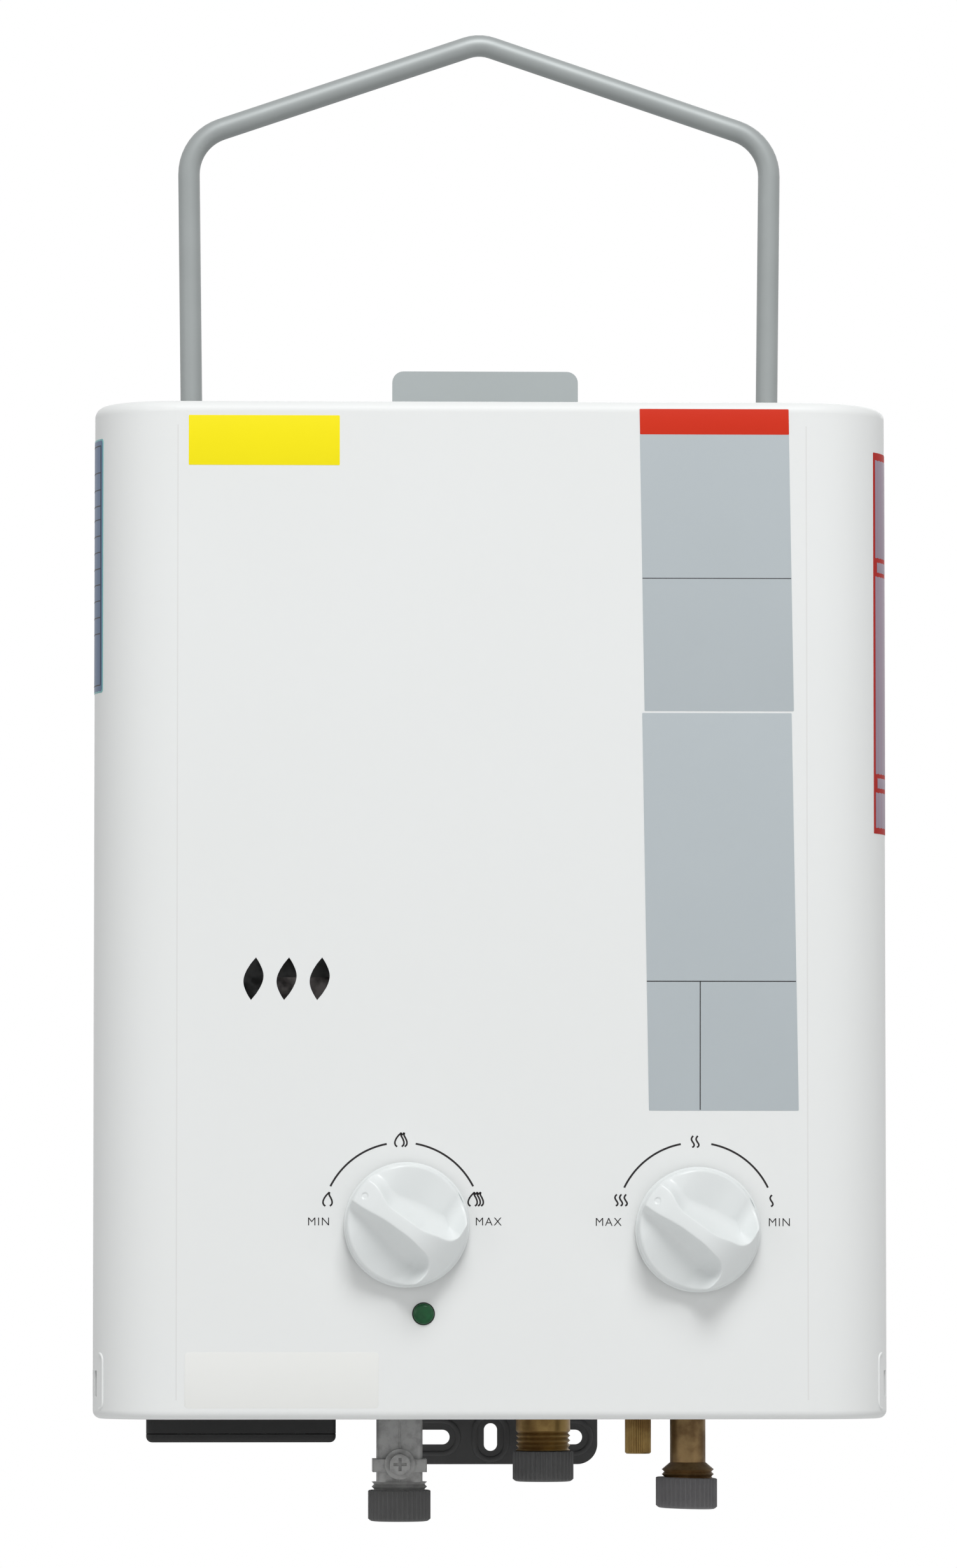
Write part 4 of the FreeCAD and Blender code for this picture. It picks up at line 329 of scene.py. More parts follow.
zinc_sheet = stained("zinc plated sheet", (196, 200, 201), (176, 180, 182), (0.34, 0.5), 260.0, 0.08, 0.9)
satin_steel = finish("satin stainless", (188, 187, 184), (166, 165, 162), (0.26, 0.4), "grain",
                     {"Across x": 50.0, "Across y": 2200.0, "Across z": 2200.0}, 0.12, metallic=1.0)
bright_steel = stained("bright steel", (176, 176, 173), (150, 150, 147), (0.28, 0.42), 600.0, 0.06, 1.0)
sooted_steel = stained("sooted steel", (196, 190, 190), (96, 92, 92), (0.45, 0.6), 90.0, 0.1, 0.6)
cast_alloy = stained("cast alloy", (154, 154, 153), (138, 138, 137), (0.46, 0.58), 240.0, 0.3, 0.5,
                     specks=2600.0, depth=0.00003)
dull_brass = stained("dulled brass", (150, 124, 74), (122, 94, 52), (0.34, 0.48), 70.0, 0.08, 0.8)
aged_brass = stained("aged brass", (132, 108, 72), (100, 76, 46), (0.36, 0.5), 90.0, 0.1, 0.75)
copper = stained("bright copper", (196, 124, 92), (150, 86, 62), (0.26, 0.42), 45.0, 0.08, 1.0)
print("with the metals:", len(bpy.data.materials), "materials")

# %% [markdown]
# ## Dressing the solids
# A solid whose shape is already right only needs its finish. Each node gets the one its real piece has.

# %% Finish for every node
node_finish = {
    white_paint: ["front_cover"],
    tab_paint: ["hang_bracket"],
    silver_paint: ["handle_bail"],
    black_paint: ["lower_bracket", "switch_lever"],
    zinc_sheet: ["back_plate", "bottom_plate", "handle_brackets", "cell_contacts", "door_contact"],
    satin_steel: ["flue_grille", "flue_hood"],
    sooted_steel: ["burner_frame", "burner_bars"],
    bright_steel: ["handle_clips", "case_rivets", "cover_screws", "valve_screws", "solenoid_valve",
                   "overheat_switch", "gas_poppet", "push_rod", "bore_plug"],
    knob_plastic: ["gas_knob", "water_knob"],
    lens_plastic: ["indicator_lens"],
    box_plastic: ["battery_box", "battery_door", "indicator_holder", "micro_switch", "igniter_module"],
    cap_plastic: ["gas_cap", "hot_cap"],
    lighter_cap_plastic: ["cold_cap"],
    cast_alloy: ["gas_inlet_neck", "gas_valve_body", "test_point_screw"],
    aged_brass: ["cold_inlet_tube"],
    dull_brass: ["water_valve_body", "diaphragm_cover", "drain_plug", "hot_outlet_fitting", "union_nuts",
                 "burner_nozzles", "gas_spindle", "water_spindle", "gas_manifold"],
    copper: ["combustion_chamber", "coil_pipe", "exchanger_shell", "exchanger_fins", "exchanger_tubes",
             "hot_pipe"],
    rubber_black: ["diaphragm", "drain_seal", "gas_cap_washer", "hot_cap_washer", "cold_cap_washer"],
    ceramic_white: ["electrodes"],
    jacket_film: ["battery_cells"],
}
dressed = 0
for material, names in node_finish.items():
    for name in names:
        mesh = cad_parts[name].data
        mesh.materials.clear()
        mesh.materials.append(material)
        dressed += 1
print("nodes dressed:", dressed, "of", len(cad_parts))

# %% [markdown]
# ## The knobs
# A knob is a drum with two scoops that leave a finger bar between them. Seen from the front the scoops
# are half moons: straight along the bar, rounded at the bar's tail, and open to the rim. That is easy
# to say as a height over the disc. Here "along" runs up the bar to its pointer and "across" runs from
# the low side of the bar to its high side.

# %% Height of the knob's face
KNOB_FRONT = 20.5
CROWN_CURVE = 0.0035
NOSE_FROM, NOSE_TO, NOSE_DROP = 13.0, 22.0, 1.0
TAIL_FROM, TAIL_SPAN, TAIL_DROP, TAIL_POWER = -1.5, 18.7, 10.4, 2.2
SCOOP_DEPTH = 12.0
SCOOP_REACH = 9.0
SCOOP_POWER = 2.3
SHARE_AT_NOSE, SHARE_FROM, SHARE_TO = 0.45, 19.0, -6.0
LIP = 0.22
DOT_ACROSS, DOT_ALONG, DOT_R, DOT_SOFT, DOT_SINK = -0.7, 18.5, 1.1, 0.15, 0.35
# A flank of the bar: its way from the middle, then how it widens to the nose and the tail (from, to, by).
LOW_FLANK = (3.5, (5.0, 19.0, 1.3), (-2.0, -13.0, 1.2))
HIGH_FLANK = (1.5, (8.0, 18.5, 3.5), (-4.0, -15.0, 2.2))
# The end of a scoop at the tail: place and slope of its line, and the radius of its corner.
LOW_END = (17.2, 0.12, 6.5)
HIGH_END = (18.2, -0.06, 5.0)


def smooth_step(low, high, value):
    """0 below low, 1 above high, and 3t^2 - 2t^3 between them."""
    t = np.clip((value - low) / (high - low), 0.0, 1.0)
    return t * t * (3.0 - 2.0 * t)


def beside_flank(away, along, flank):
    """How far a point lies outside a flank: away from the middle line, less the bar's half width."""
    half_width, *widenings = flank
    away = away - half_width
    for start, end, growth in widenings:
        away = away - growth * smooth_step(start, end, along)
    return away


def knob_face(across, along):
    """Crown minus scoop. The crown sinks towards the bar's tail like a parabola. The scoop's depth is
    12 * f * (1 - (1 - s / 9f)^2.3): s is the distance inside the half moon, from bar and tail, and f
    grows from 0.45 at the pointer to 1 at the tail."""
    crown = KNOB_FRONT - CROWN_CURVE * (across**2 + along**2)
    crown = crown - NOSE_DROP * smooth_step(NOSE_FROM, NOSE_TO, along)
    crown = crown - TAIL_DROP * (np.clip(TAIL_FROM - along, 0.0, None) / TAIL_SPAN) ** TAIL_POWER
    from_bar = np.maximum(beside_flank(-across, along, LOW_FLANK), beside_flank(across, along, HIGH_FLANK))
    end, slope, corner = (np.where(across > 0.0, high, low) for high, low in zip(HIGH_END, LOW_END))
    from_tail = along + (end + slope * across)
    miss = np.hypot(np.maximum(corner - from_bar, 0.0), np.maximum(corner - from_tail, 0.0))
    inside = np.where(miss > 0.0, corner - miss, np.minimum(from_bar, from_tail))
    inside = 0.5 * (inside + np.sqrt(inside**2 + LIP**2))
    share = SHARE_AT_NOSE + (1.0 - SHARE_AT_NOSE) * smooth_step(SHARE_FROM, SHARE_TO, along)
    wall = (1.0 - np.clip(inside / (SCOOP_REACH * share), 0.0, 1.0)) ** SCOOP_POWER
    scoop = SCOOP_DEPTH * share * (1.0 - wall)
    from_dot = np.hypot(across - DOT_ACROSS, along - DOT_ALONG)
    dot = DOT_SINK * smooth_step(DOT_R + DOT_SOFT, DOT_R - DOT_SOFT, from_dot)
    return crown - scoop - dot


print("face height at the bar's middle and in a scoop:",
      [round(float(knob_face(np.array(across), np.array(0.0))), 2) for across in (0.0, 15.0)])

# %% [markdown]
# The face becomes a polar grid: rings of growing radius whose height comes from the formula. The same
# rings run on over the rounded rim, down the drum, over the small skirt and round to the back, so the
# knob is one closed skin. It takes the place of the plainer solid knob and turns on the same body.

# %% Grid of the whole knob
FACE_R = 20.6
DRUM_R = 21.8
SKIRT_R = 22.7
RIM_DROP = 1.2
TURN_STEPS = 400
FACE_RINGS = 124
RIM_RINGS = 10
# (radius, height) from the drum's foot over the skirt to the middle of the back.
KNOB_FOOT = ((22.05, 4.6), (22.15, 4.2), (22.5, 4.0), (SKIRT_R, 3.6), (SKIRT_R, 1.8), (22.5, 1.5),
             (19.7, 1.5), (19.7, 3.2), (6.0, 3.2), (0.0, 3.2))
POINTER = math.radians(-53.9)


def knob_grid(middle_x, middle_z, lean):
    """Rows run from the face's middle outwards, down the drum and skirt and to the back's middle. On the
    rim, r = 20.6 + 1.2 sin b and the face sinks by 1.2 (1 - cos b), with b from 0 to a right angle."""
    turn = np.linspace(0.0, 2.0 * np.pi, TURN_STEPS, endpoint=False)
    across_way = np.array([math.cos(lean), -math.sin(lean)])
    along_way = np.array([math.sin(lean), math.cos(lean)])
    ring = np.stack([np.cos(turn), np.sin(turn)], axis=-1)
    bend = np.linspace(0.0, np.pi / 2, RIM_RINGS + 1)[1:]
    face_r = np.append(FACE_R * np.linspace(0.0, 1.0, FACE_RINGS),
                       FACE_R + (DRUM_R - FACE_R) * np.sin(bend))
    rounding = np.append(np.zeros(FACE_RINGS), RIM_DROP * (1.0 - np.cos(bend)))
    across = face_r[:, None] * ring[None, :, 0]
    along = face_r[:, None] * ring[None, :, 1]
    radii = [np.broadcast_to(face_r[:, None], across.shape)]
    heights = [knob_face(across, along) - rounding[:, None]]
    for radius, height in KNOB_FOOT:
        radii.append(np.full((1, TURN_STEPS), radius))
        heights.append(np.full((1, TURN_STEPS), height))
    radius = np.concatenate(radii)
    height = np.concatenate(heights)
    a = radius * ring[None, :, 0]
    b = radius * ring[None, :, 1]
    x = middle_x + a * across_way[0] + b * along_way[0]
    z = middle_z + a * across_way[1] + b * along_way[1]
    return np.stack([x, -height, z], axis=-1), False, True


for name, x, z in (("gas_knob", -31.2, 70.3), ("water_knob", 74.3, 68.6)):
    knob = make_piece(name + "_grip", [knob_grid(x, z, POINTER)], name + "_body",
                      knob_plastic, crease=60.0)
    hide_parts(name)

# %% [markdown]
# ## The transport caps
# A cap is a soft plastic cup with close ribs to grip. The profile goes up the outside, over the lip and
# down the bore; round the cap the outside radius swells and sinks with each rib. Between two ribs the
# valley is round and the rib's top is flat, which a clipped cosine gives.

# %% Ribbed cups
RIBS = 38
RIB_STEPS = 8
RIB_RISE = 0.45


def cap_grid(x, depth, crest, top, bottom, bore, lean=0.0):
    """radius = profile + share * 0.45 * clip(0.5 + 0.9 cos(38 turn)); lean tips the cup sideways."""
    turn = np.linspace(0.0, 2.0 * np.pi, RIBS * RIB_STEPS, endpoint=False)
    rib = RIB_RISE * np.clip(0.5 + 0.9 * np.cos(RIBS * turn), 0.0, 1.0)
    root = crest - RIB_RISE
    high = top - bottom
    # Each row: radius, level above the bottom, share of the rib.
    profile = np.array([
        (0.0, 0.0, 0), (root - 1.6, 0.0, 0), (root - 0.7, 0.12, 0), (root - 0.15, 0.5, 0.2),
        (root, 1.0, 1), (root, high * 0.35, 1), (root, high * 0.7, 1), (root, high - 0.35, 1),
        (root - 0.1, high - 0.1, 0.5), (root - 0.4, high, 0), (bore + 0.3, high, 0),
        (bore, high - 0.3, 0), (bore, 1.3, 0), (0.0, 1.2, 0),
    ])
    radius = profile[:, 0, None] + profile[:, 2, None] * rib[None, :]
    around = radius * np.cos(turn)
    level = bottom + profile[:, 1, None] - around * math.tan(lean)
    points = np.stack([x + around, depth + radius * np.sin(turn), level * np.ones_like(radius)], axis=-1)
    return points, False, True


for name, grid, material in (
    ("gas_cap", cap_grid(-32.6, 56.0, 11.5, -26.8, -38.3, 10.5), cap_plastic),
    ("hot_cap", cap_grid(21.4, 84.0, 11.3, -13.2, -24.5, 10.4), cap_plastic),
    ("cold_cap", cap_grid(73.2, 56.0, 11.3, -22.3, -33.7, 9.95, lean=math.radians(1.6)), lighter_cap_plastic),
):
    cup = make_piece(name + "_cup", [grid], name + "_body", material, crease=50.0)
    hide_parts(name)

# %% [markdown]
# ## Ink on the panel
# Screen printing is a layer of ink a few hundredths of a millimetre thick. A printed line is a strip: a
# path on the panel, widened to both sides and lifted a hair off the paint. Its four corner lines and
# the path make a grid.

# %% Strips of ink
INK = 0.05
SUNK = 0.02
ink_black = coated("black screen ink", (34, 30, 32), (26, 23, 25), (0.45, 0.55), 2500.0, 9.0, 0.08,
                   specular=0.3)


def strip_grid(path, width, front=0.0, thickness=INK):
    """Path points (x, z) move by +-width/2 along the normal; the back lies a hair inside the paint."""
    path = np.asarray(path, dtype=float)
    way = np.gradient(path, axis=0)
    way /= np.linalg.norm(way, axis=1)[:, None]
    side = np.stack([-way[:, 1], way[:, 0]], axis=-1) * width / 2
    rings = []
    for offset, lift in ((-side, thickness), (side, thickness), (side, -SUNK), (-side, -SUNK)):
        place = path + offset
        rings.append(np.stack([place[:, 0], np.full(len(path), front - lift), place[:, 1]], axis=-1))
    body = np.stack(rings, axis=1)
    middle = body.mean(axis=1, keepdims=True)
    first = np.broadcast_to(middle[:1], body[:1].shape)
    last = np.broadcast_to(middle[-1:], body[-1:].shape)
    return np.concatenate([first, body, last]), False, True


print("a strip of two points has", len(strip_grid([(0, 0), (0, 10)], 1.0)[0]), "rows of four corners")

# %% [markdown]
# ## Lines on the dials
# A dial is an arc in two parts. Small flame outlines stand round the left dial and steam curls round
# the right one, and both grow from low to high. An arc follows from sine and cosine; the outlines are
# a few corners with a smooth line laid through them.

# %% Arcs and smooth outlines
DIAL_R = 29.0
ICON_LINE = 0.6
TONGUE_STEP = 1.1
CURL_STEP = 1.7


def arc_path(x, z, start, end, steps=40):
    """Points on a dial's circle; angles in degrees from straight up, clockwise."""
    turn = np.radians(np.linspace(start, end, steps))
    return np.stack([x + DIAL_R * np.sin(turn), z + DIAL_R * np.cos(turn)], axis=-1)


def curve_path(corners, x, z, steps=30):
    """A smooth line through a few corners: Catmull-Rom weights, moved to x, z."""
    corners = np.asarray(corners, dtype=float)
    padded = np.vstack([2 * corners[0] - corners[1], corners, 2 * corners[-1] - corners[-2]])
    along = np.linspace(0.0, len(corners) - 1.0, steps)
    part = np.minimum(along.astype(int), len(corners) - 2)
    t = (along - part)[:, None]
    a, b, c, d = padded[part], padded[part + 1], padded[part + 2], padded[part + 3]
    smooth = 0.5 * (2 * b + (c - a) * t + (2 * a - 5 * b + 4 * c - d) * t**2
                    + (3 * b - a - 3 * c + d) * t**3)
    return np.array([x, z]) + smooth


flame_left = [(0.7, 2.55), (-0.33, 1.55), (-1.2, 0.35), (-1.65, -0.95), (-1.42, -1.95), (-0.8, -2.5)]
flame_right = [(0.7, 2.55), (0.6, 1.55), (1.13, 0.55), (1.6, -0.7), (1.52, -1.75), (0.85, -2.5)]
flame_cusp = [(1.8, 2.55), (1.25, 2.05), (0.75, 1.75)]
steam_curl = [(0.13, 2.05), (-0.35, 1.45), (-0.53, 0.83), (-0.23, 0.08), (0.28, -0.68), (0.48, -1.3),
              (0.25, -1.8), (-0.23, -2.1)]


def flame_strips(x, z, tongues):
    """One drop outline, and one more right-hand edge beside it for each further tongue."""
    first = x - TONGUE_STEP * (tongues - 1) / 2
    strips = [strip_grid(curve_path(flame_left, first, z), ICON_LINE)]
    for tongue in range(tongues):
        place = first + TONGUE_STEP * tongue
        strips.append(strip_grid(curve_path(flame_right, place, z), ICON_LINE))
        if tongue:
            strips.append(strip_grid(curve_path(flame_cusp, place - TONGUE_STEP, z, 8), ICON_LINE))
    return strips


def steam_strips(x, z, curls):
    """A row of S-shaped curls."""
    places = x + CURL_STEP * (np.arange(curls) - (curls - 1) / 2)
    return [strip_grid(curve_path(steam_curl, place, z), ICON_LINE) for place in places]


print("a flame with three tongues takes", len(flame_strips(0.0, 0.0, 3)), "strips")

# %% Print both dials
ARC_LINE = 0.68
GAS_DIAL = (-32.9, 71.1)
WATER_DIAL = (73.8, 71.1)

gas_print = [strip_grid(arc_path(*GAS_DIAL, start, end), ARC_LINE)
             for start, end in ((-63.0, -10.8), (10.0, 63.0))]
gas_print += flame_strips(-59.75, 79.6, 1) + flame_strips(-33.2, 101.1, 2) + flame_strips(-6.1, 79.6, 3)
water_print = [strip_grid(arc_path(*WATER_DIAL, start, end), ARC_LINE)
               for start, end in ((-64.0, -11.0), (11.0, 64.0))]
water_print += steam_strips(46.6, 79.3, 3) + steam_strips(73.5, 100.5, 2) + steam_strips(101.2, 79.1, 1)
for name, strips in (("gas_dial_print", gas_print), ("water_dial_print", water_print)):
    make_piece(name, strips, "frame", ink_black)

# %% [markdown]
# The words at the ends of a dial are plain capitals. Blender sets them as text, which then becomes an
# ordinary mesh, because a finished piece carries its place in its mesh. A small negative offset makes
# the letters thinner, as the ink's are.

# %% MIN and MAX
CAPITAL = 3.1
CAPITAL_SHARE = 0.73
LETTER_SPACE = 1.14
LETTER_OFFSET = -0.00003
HALF_INK = 0.00003
WORD_LIFT = 0.02
TYPE_WELD = 1e-7


def print_word(text, x, z):
    """Sets a word in capitals, centred on x, z: (right, up) becomes (x, z), and the ink lies in front."""
    type_curve = bpy.data.curves.new("type", "FONT")
    type_curve.body = text
    type_curve.size = CAPITAL / CAPITAL_SHARE / 1000.0
    type_curve.space_character = LETTER_SPACE
    type_curve.offset = LETTER_OFFSET
    type_curve.extrude = HALF_INK
    setter = bpy.data.objects.new("setter", type_curve)
    bpy.context.scene.collection.objects.link(setter)
    bpy.context.view_layer.update()
    solid = setter.evaluated_get(bpy.context.evaluated_depsgraph_get())
    mesh = bpy.data.meshes.new_from_object(solid)
    bpy.data.objects.remove(setter)
    spots = np.empty(len(mesh.vertices) * 3)
    mesh.vertices.foreach_get("co", spots)
    spots = spots.reshape(-1, 3)
    middle = (spots.min(axis=0) + spots.max(axis=0)) / 2
    centre = to_scene([x, -WORD_LIFT, z])
    upright = np.stack([spots[:, 0] - middle[0], -spots[:, 2], spots[:, 1] - middle[1]], axis=-1)
    mesh.vertices.foreach_set("co", (upright + centre).ravel())
    mesh.update()
    return mesh


def join_words(name, words):
    """All words of one dial in one mesh."""
    whole = bmesh.new()
    for text, x, z in words:
        whole.from_mesh(print_word(text, x, z))
    bmesh.ops.remove_doubles(whole, verts=whole.verts, dist=TYPE_WELD)
    bmesh.ops.recalc_face_normals(whole, faces=whole.faces)
    mesh = bpy.data.meshes.new(name)
    whole.to_mesh(mesh)
    whole.free()
    add_piece(name, mesh, "frame", ink_black)


join_words("gas_dial_words", [("MIN", -63.0, 71.55), ("MAX", -1.4, 71.55)])
join_words("water_dial_words", [("MAX", 42.1, 71.4), ("MIN", 104.0, 71.3)])

# %% [markdown]
# ## Stickers
# The real case carries stickers. They stay blank here: coloured vinyl with rounded corners and its own
# gloss. A sticker follows the case round its corners, so its grid is laid out
# on the cover's plan: a straight front, a quarter circle and a straight side, measured as one length.

# %% Lay a length on the bent cover
HALF_FLAT = 115.0
CORNER_R = 30.0
QUARTER = CORNER_R * math.pi / 2


def on_cover(length, height, lift):
    """Length runs from the front's middle to the right; past 115 it turns round a 30 mm corner."""
    side = np.sign(length)
    way = np.abs(length)
    bend = np.clip((way - HALF_FLAT) / CORNER_R, 0.0, np.pi / 2)
    beyond = np.maximum(way - HALF_FLAT - QUARTER, 0.0)
    x = np.minimum(way, HALF_FLAT) + (CORNER_R + lift) * np.sin(bend)
    y = CORNER_R - (CORNER_R + lift) * np.cos(bend) + beyond
    return np.stack([side * x, y, height * np.ones_like(x)], axis=-1)


print("a length of 200 mm ends at x, depth =", on_cover(np.array(200.0), 0.0, 0.0)[:2].round(1).tolist())

# %% [markdown]
# A sticker is a loop of rows: the back's lower edge, up the front and over to the back's upper edge.
# Its front is a hair lower along both edges, so that light catches them. The ends of the loop are then
# closed, which makes the sticker a thin solid.

# %% Vinyl on a bent panel
VINYL = 0.12
SOFT_EDGE = 0.25
EDGE_DIP = 0.05
COLUMN_STEP = 3.0


def sticker_grid(left, right, base, top, slant=0.0, corner=0.3, thickness=VINYL, lift=0.0):
    """A rounded rectangle on the cover. Near a side the rows are trimmed by r - sqrt(r^2 - (r - gap)^2)."""
    round_part = corner * (1.0 - np.cos(np.linspace(0.0, np.pi / 2, 6)))
    straight = np.linspace(left + corner, right - corner, max(3, int((right - left) / COLUMN_STEP)))
    u = np.concatenate([left + round_part[:-1], straight, (right - round_part[:-1])[::-1]])
    gap = np.minimum(u - left, right - u)
    trim = corner - np.sqrt(np.maximum(corner**2 - np.maximum(corner - gap, 0.0) ** 2, 0.0))
    low, high, middle = base + trim, top - trim, (base + top) / 2
    rows = []
    for level, rise in ((low, -SUNK), (low, thickness - EDGE_DIP), (low + SOFT_EDGE, thickness),
                        (high - SOFT_EDGE, thickness), (high, thickness - EDGE_DIP), (high, -SUNK)):
        rows.append(on_cover(u + slant * (level - middle), level, lift + rise))
    return np.stack(rows), True, False


def with_ends(grid):
    """Closes the two short ends of a sticker's loop, so that it is one closed skin."""
    points = grid[0]
    ends = []
    for column in (0, -1):
        rim = points[:, column]
        flat = np.broadcast_to(rim.mean(axis=0), rim.shape)
        ends.append((np.stack([rim, flat]), False, True))
    return [grid] + ends


def sticker(name, left, right, base, top, material, **more):
    """One blank sticker that rides on the case."""
    grids = with_ends(sticker_grid(left, right, base, top, **more))
    make_piece(name, grids, "frame", material, crease=50.0)


def vinyl(name, light, dark, rough=(0.36, 0.44), specular=0.3):
    """Vinyl with a faint waviness."""
    return coated(name, light, dark, rough, 180.0, 25.0, 0.08, depth=0.00004, specular=specular)


yellow_vinyl = vinyl("yellow vinyl", (248, 233, 0), (245, 228, 0))
red_vinyl = vinyl("red vinyl", (207, 44, 12), (202, 40, 8))
side_red_vinyl = vinyl("side red vinyl", (176, 32, 24), (168, 28, 20), (0.5, 0.6), 0.15)
grey_vinyl = vinyl("grey vinyl", (182, 190, 194), (178, 186, 190))
blue_vinyl = vinyl("blue grey vinyl", (74, 100, 133), (67, 92, 125))
teal_vinyl = vinyl("teal vinyl", (120, 176, 178), (112, 168, 170))
violet_vinyl = vinyl("grey violet vinyl", (150, 134, 152), (142, 126, 144))
clear_film = vinyl("milky film", (235, 236, 234), (231, 232, 229), (0.4, 0.46), 0.25)
print("vinyl is", VINYL, "mm thick, and its edge dips by", EDGE_DIP)

# %% [markdown]
# Each sticker is given by its left and right end along the cover and its lower and upper edge. The tall
# grey ones lean a little, as if stuck on by hand. Where a second colour lies on the first, as on both
# sides, it is a thinner sticker lifted by the height of the one below.

# %% Stick them on
SLANT = -0.0158
SECOND_LAYER = {"lift": 0.1, "thickness": 0.06}

sticker("yellow_sticker", -110.5, -55.6, 346.3, 364.5, yellow_vinyl)
sticker("upper_grey_sticker", 54.45, 108.8, 256.9, 367.2, grey_vinyl, slant=SLANT)
sticker("upper_red_band", 53.7, 108.05, 357.8, 367.2, red_vinyl, slant=SLANT, **SECOND_LAYER)
sticker("lower_grey_sticker", 55.6, 110.0, 111.7, 256.2, grey_vinyl, slant=SLANT)
sticker("milky_film_sticker", -111.4, -41.2, 4.1, 24.3, clear_film, corner=1.2, thickness=0.06)
sticker("left_side_edging", -200.0, -148.1, 264.4, 357.4, teal_vinyl, corner=1.2)
sticker("left_side_sticker", -199.4, -148.8, 264.9, 356.9, blue_vinyl, corner=1.0, **SECOND_LAYER)
sticker("right_side_edging", 144.2, 206.0, 213.1, 352.8, side_red_vinyl)
right_fields = [(145.5, 215.2, 228.2), (146.9, 229.7, 233.5), (145.5, 234.9, 307.4),
                (146.9, 308.8, 312.6), (145.5, 314.1, 350.1)]
for index, (start, low, high) in enumerate(right_fields):
    sticker(f"right_side_sticker_{index}", start, 204.0, low, high, violet_vinyl, **SECOND_LAYER)

# %% [markdown]
# Thin dark rules divide the stickers into fields, as they do on the real ones. On the front a rule is a
# strip of ink; on the left side it follows the bent cover, so there each rule is a very narrow sticker.

# %% Rules on the stickers
STICKER_FRONT = -0.1
TABLE_LEFT = -198.6
TABLE_RIGHT = -150.0
TABLE_RULE = 0.4


def rule(x0, z0, x1, z1, width=0.28):
    """A straight strip between two points, lying on the sticker."""
    return strip_grid(np.linspace((x0, z0), (x1, z1), 6), width, front=STICKER_FRONT)


def table_rule(left, right, base, top):
    """A very narrow sticker that lies on the two layers of the left side."""
    return with_ends(sticker_grid(left, right, base, top, corner=0.05, thickness=INK, lift=0.17))


fields = [
    rule(54.6, 305.3, 108.8, 305.3),
    rule(56.0, 158.6, 110.2, 158.6, 0.35),
    rule(75.4, 158.5, 75.3, 112.0, 0.35),
]
make_piece("sticker_rules", fields, "frame", ink_black)

table_heights = [354.9, 345.1, 338.8, 332.9, 327.9, 321.9, 315.9, 309.9, 304.0, 298.1, 292.0, 286.1, 267.2]
table = []
for height in table_heights:
    table += table_rule(TABLE_LEFT, TABLE_RIGHT, height - TABLE_RULE / 2, height + TABLE_RULE / 2)
for edge in (TABLE_LEFT, TABLE_RIGHT):
    table += table_rule(edge - TABLE_RULE / 2, edge + TABLE_RULE / 2, table_heights[-1], table_heights[0])
make_piece("left_side_rules", table, "frame", ink_black)

# %% [markdown]
# ## Pressed and cast details
# The lower bracket is pressed: a round bead runs about the upright slot and a long one about each
# sideways slot. A bead is half a circle carried along a path, with its flat side on the sheet. The
# same bead, thinner, gives the parting line of the cast gas inlet.

# %% Beads along a path
FOOT = 0.1


def bead_grid(path, radius, front, height, closed=False):
    """Half circle on a path (x, z): across = r cos t, lift = h sin t, t from 0 to pi, then the base."""
    path = np.asarray(path, dtype=float)
    if closed:
        way = np.roll(path, -1, axis=0) - np.roll(path, 1, axis=0)
    else:
        way = np.gradient(path, axis=0)
    way /= np.linalg.norm(way, axis=1)[:, None]
    side = np.stack([-way[:, 1], way[:, 0]], axis=-1)
    t = np.linspace(0.0, np.pi, 11)
    across = np.append(radius * np.cos(t), [-radius, radius])
    lift = np.append(height * np.sin(t), [-FOOT, -FOOT])
    place = path[:, None, :] + side[:, None, :] * across[None, :, None]
    depth = front - lift[None, :] * np.ones((len(path), 1))
    grid = np.stack([place[..., 0], depth, place[..., 1]], axis=-1)
    if not closed:
        middle = grid[:, -2:].mean(axis=1, keepdims=True)
        first = np.broadcast_to(middle[:1], grid[:1].shape)
        last = np.broadcast_to(middle[-1:], grid[-1:].shape)
        grid = np.concatenate([first, grid, last])
    return grid, closed, True


def loop_path(x, z, reach_x, reach_z, radius, steps=72):
    """A stadium or circle: a circle of the radius whose quarters are pushed out by the reaches."""
    turn = np.radians(np.linspace(0.0, 360.0, steps, endpoint=False))
    wave = np.stack([np.cos(turn), np.sin(turn)], axis=-1)
    quarter = np.sign(np.where(np.abs(wave) > 1e-9, wave, 0.0))
    return np.array([x, z]) + np.array([reach_x, reach_z]) * quarter + radius * wave


BRACKET_FACE = 127.5
BRACKET_X = 3.2
SLOT_LEVEL = -9.0
SLOT_APART = 25.0
beads = [bead_grid(loop_path(BRACKET_X, SLOT_LEVEL, 0.0, 2.4, 6.0), 1.1, BRACKET_FACE, 0.55, closed=True)]
for side in (-1, 1):
    loop = loop_path(BRACKET_X + side * SLOT_APART, SLOT_LEVEL, 6.6, 0.0, 6.2)
    beads.append(bead_grid(loop, 1.0, BRACKET_FACE, 0.5, closed=True))
make_piece("bracket_beads", beads, "frame", black_paint, crease=70.0)

INLET_X = -32.6
INLET_FRONT = 47.6
seams = [bead_grid(np.linspace((INLET_X, high), (INLET_X, low), steps), 0.35, INLET_FRONT, 0.3)
         for high, low, steps in ((-0.4, -11.2, 12), (-20.4, -23.6, 8))]
make_piece("inlet_parting_line", seams, "frame", cast_alloy, crease=70.0)
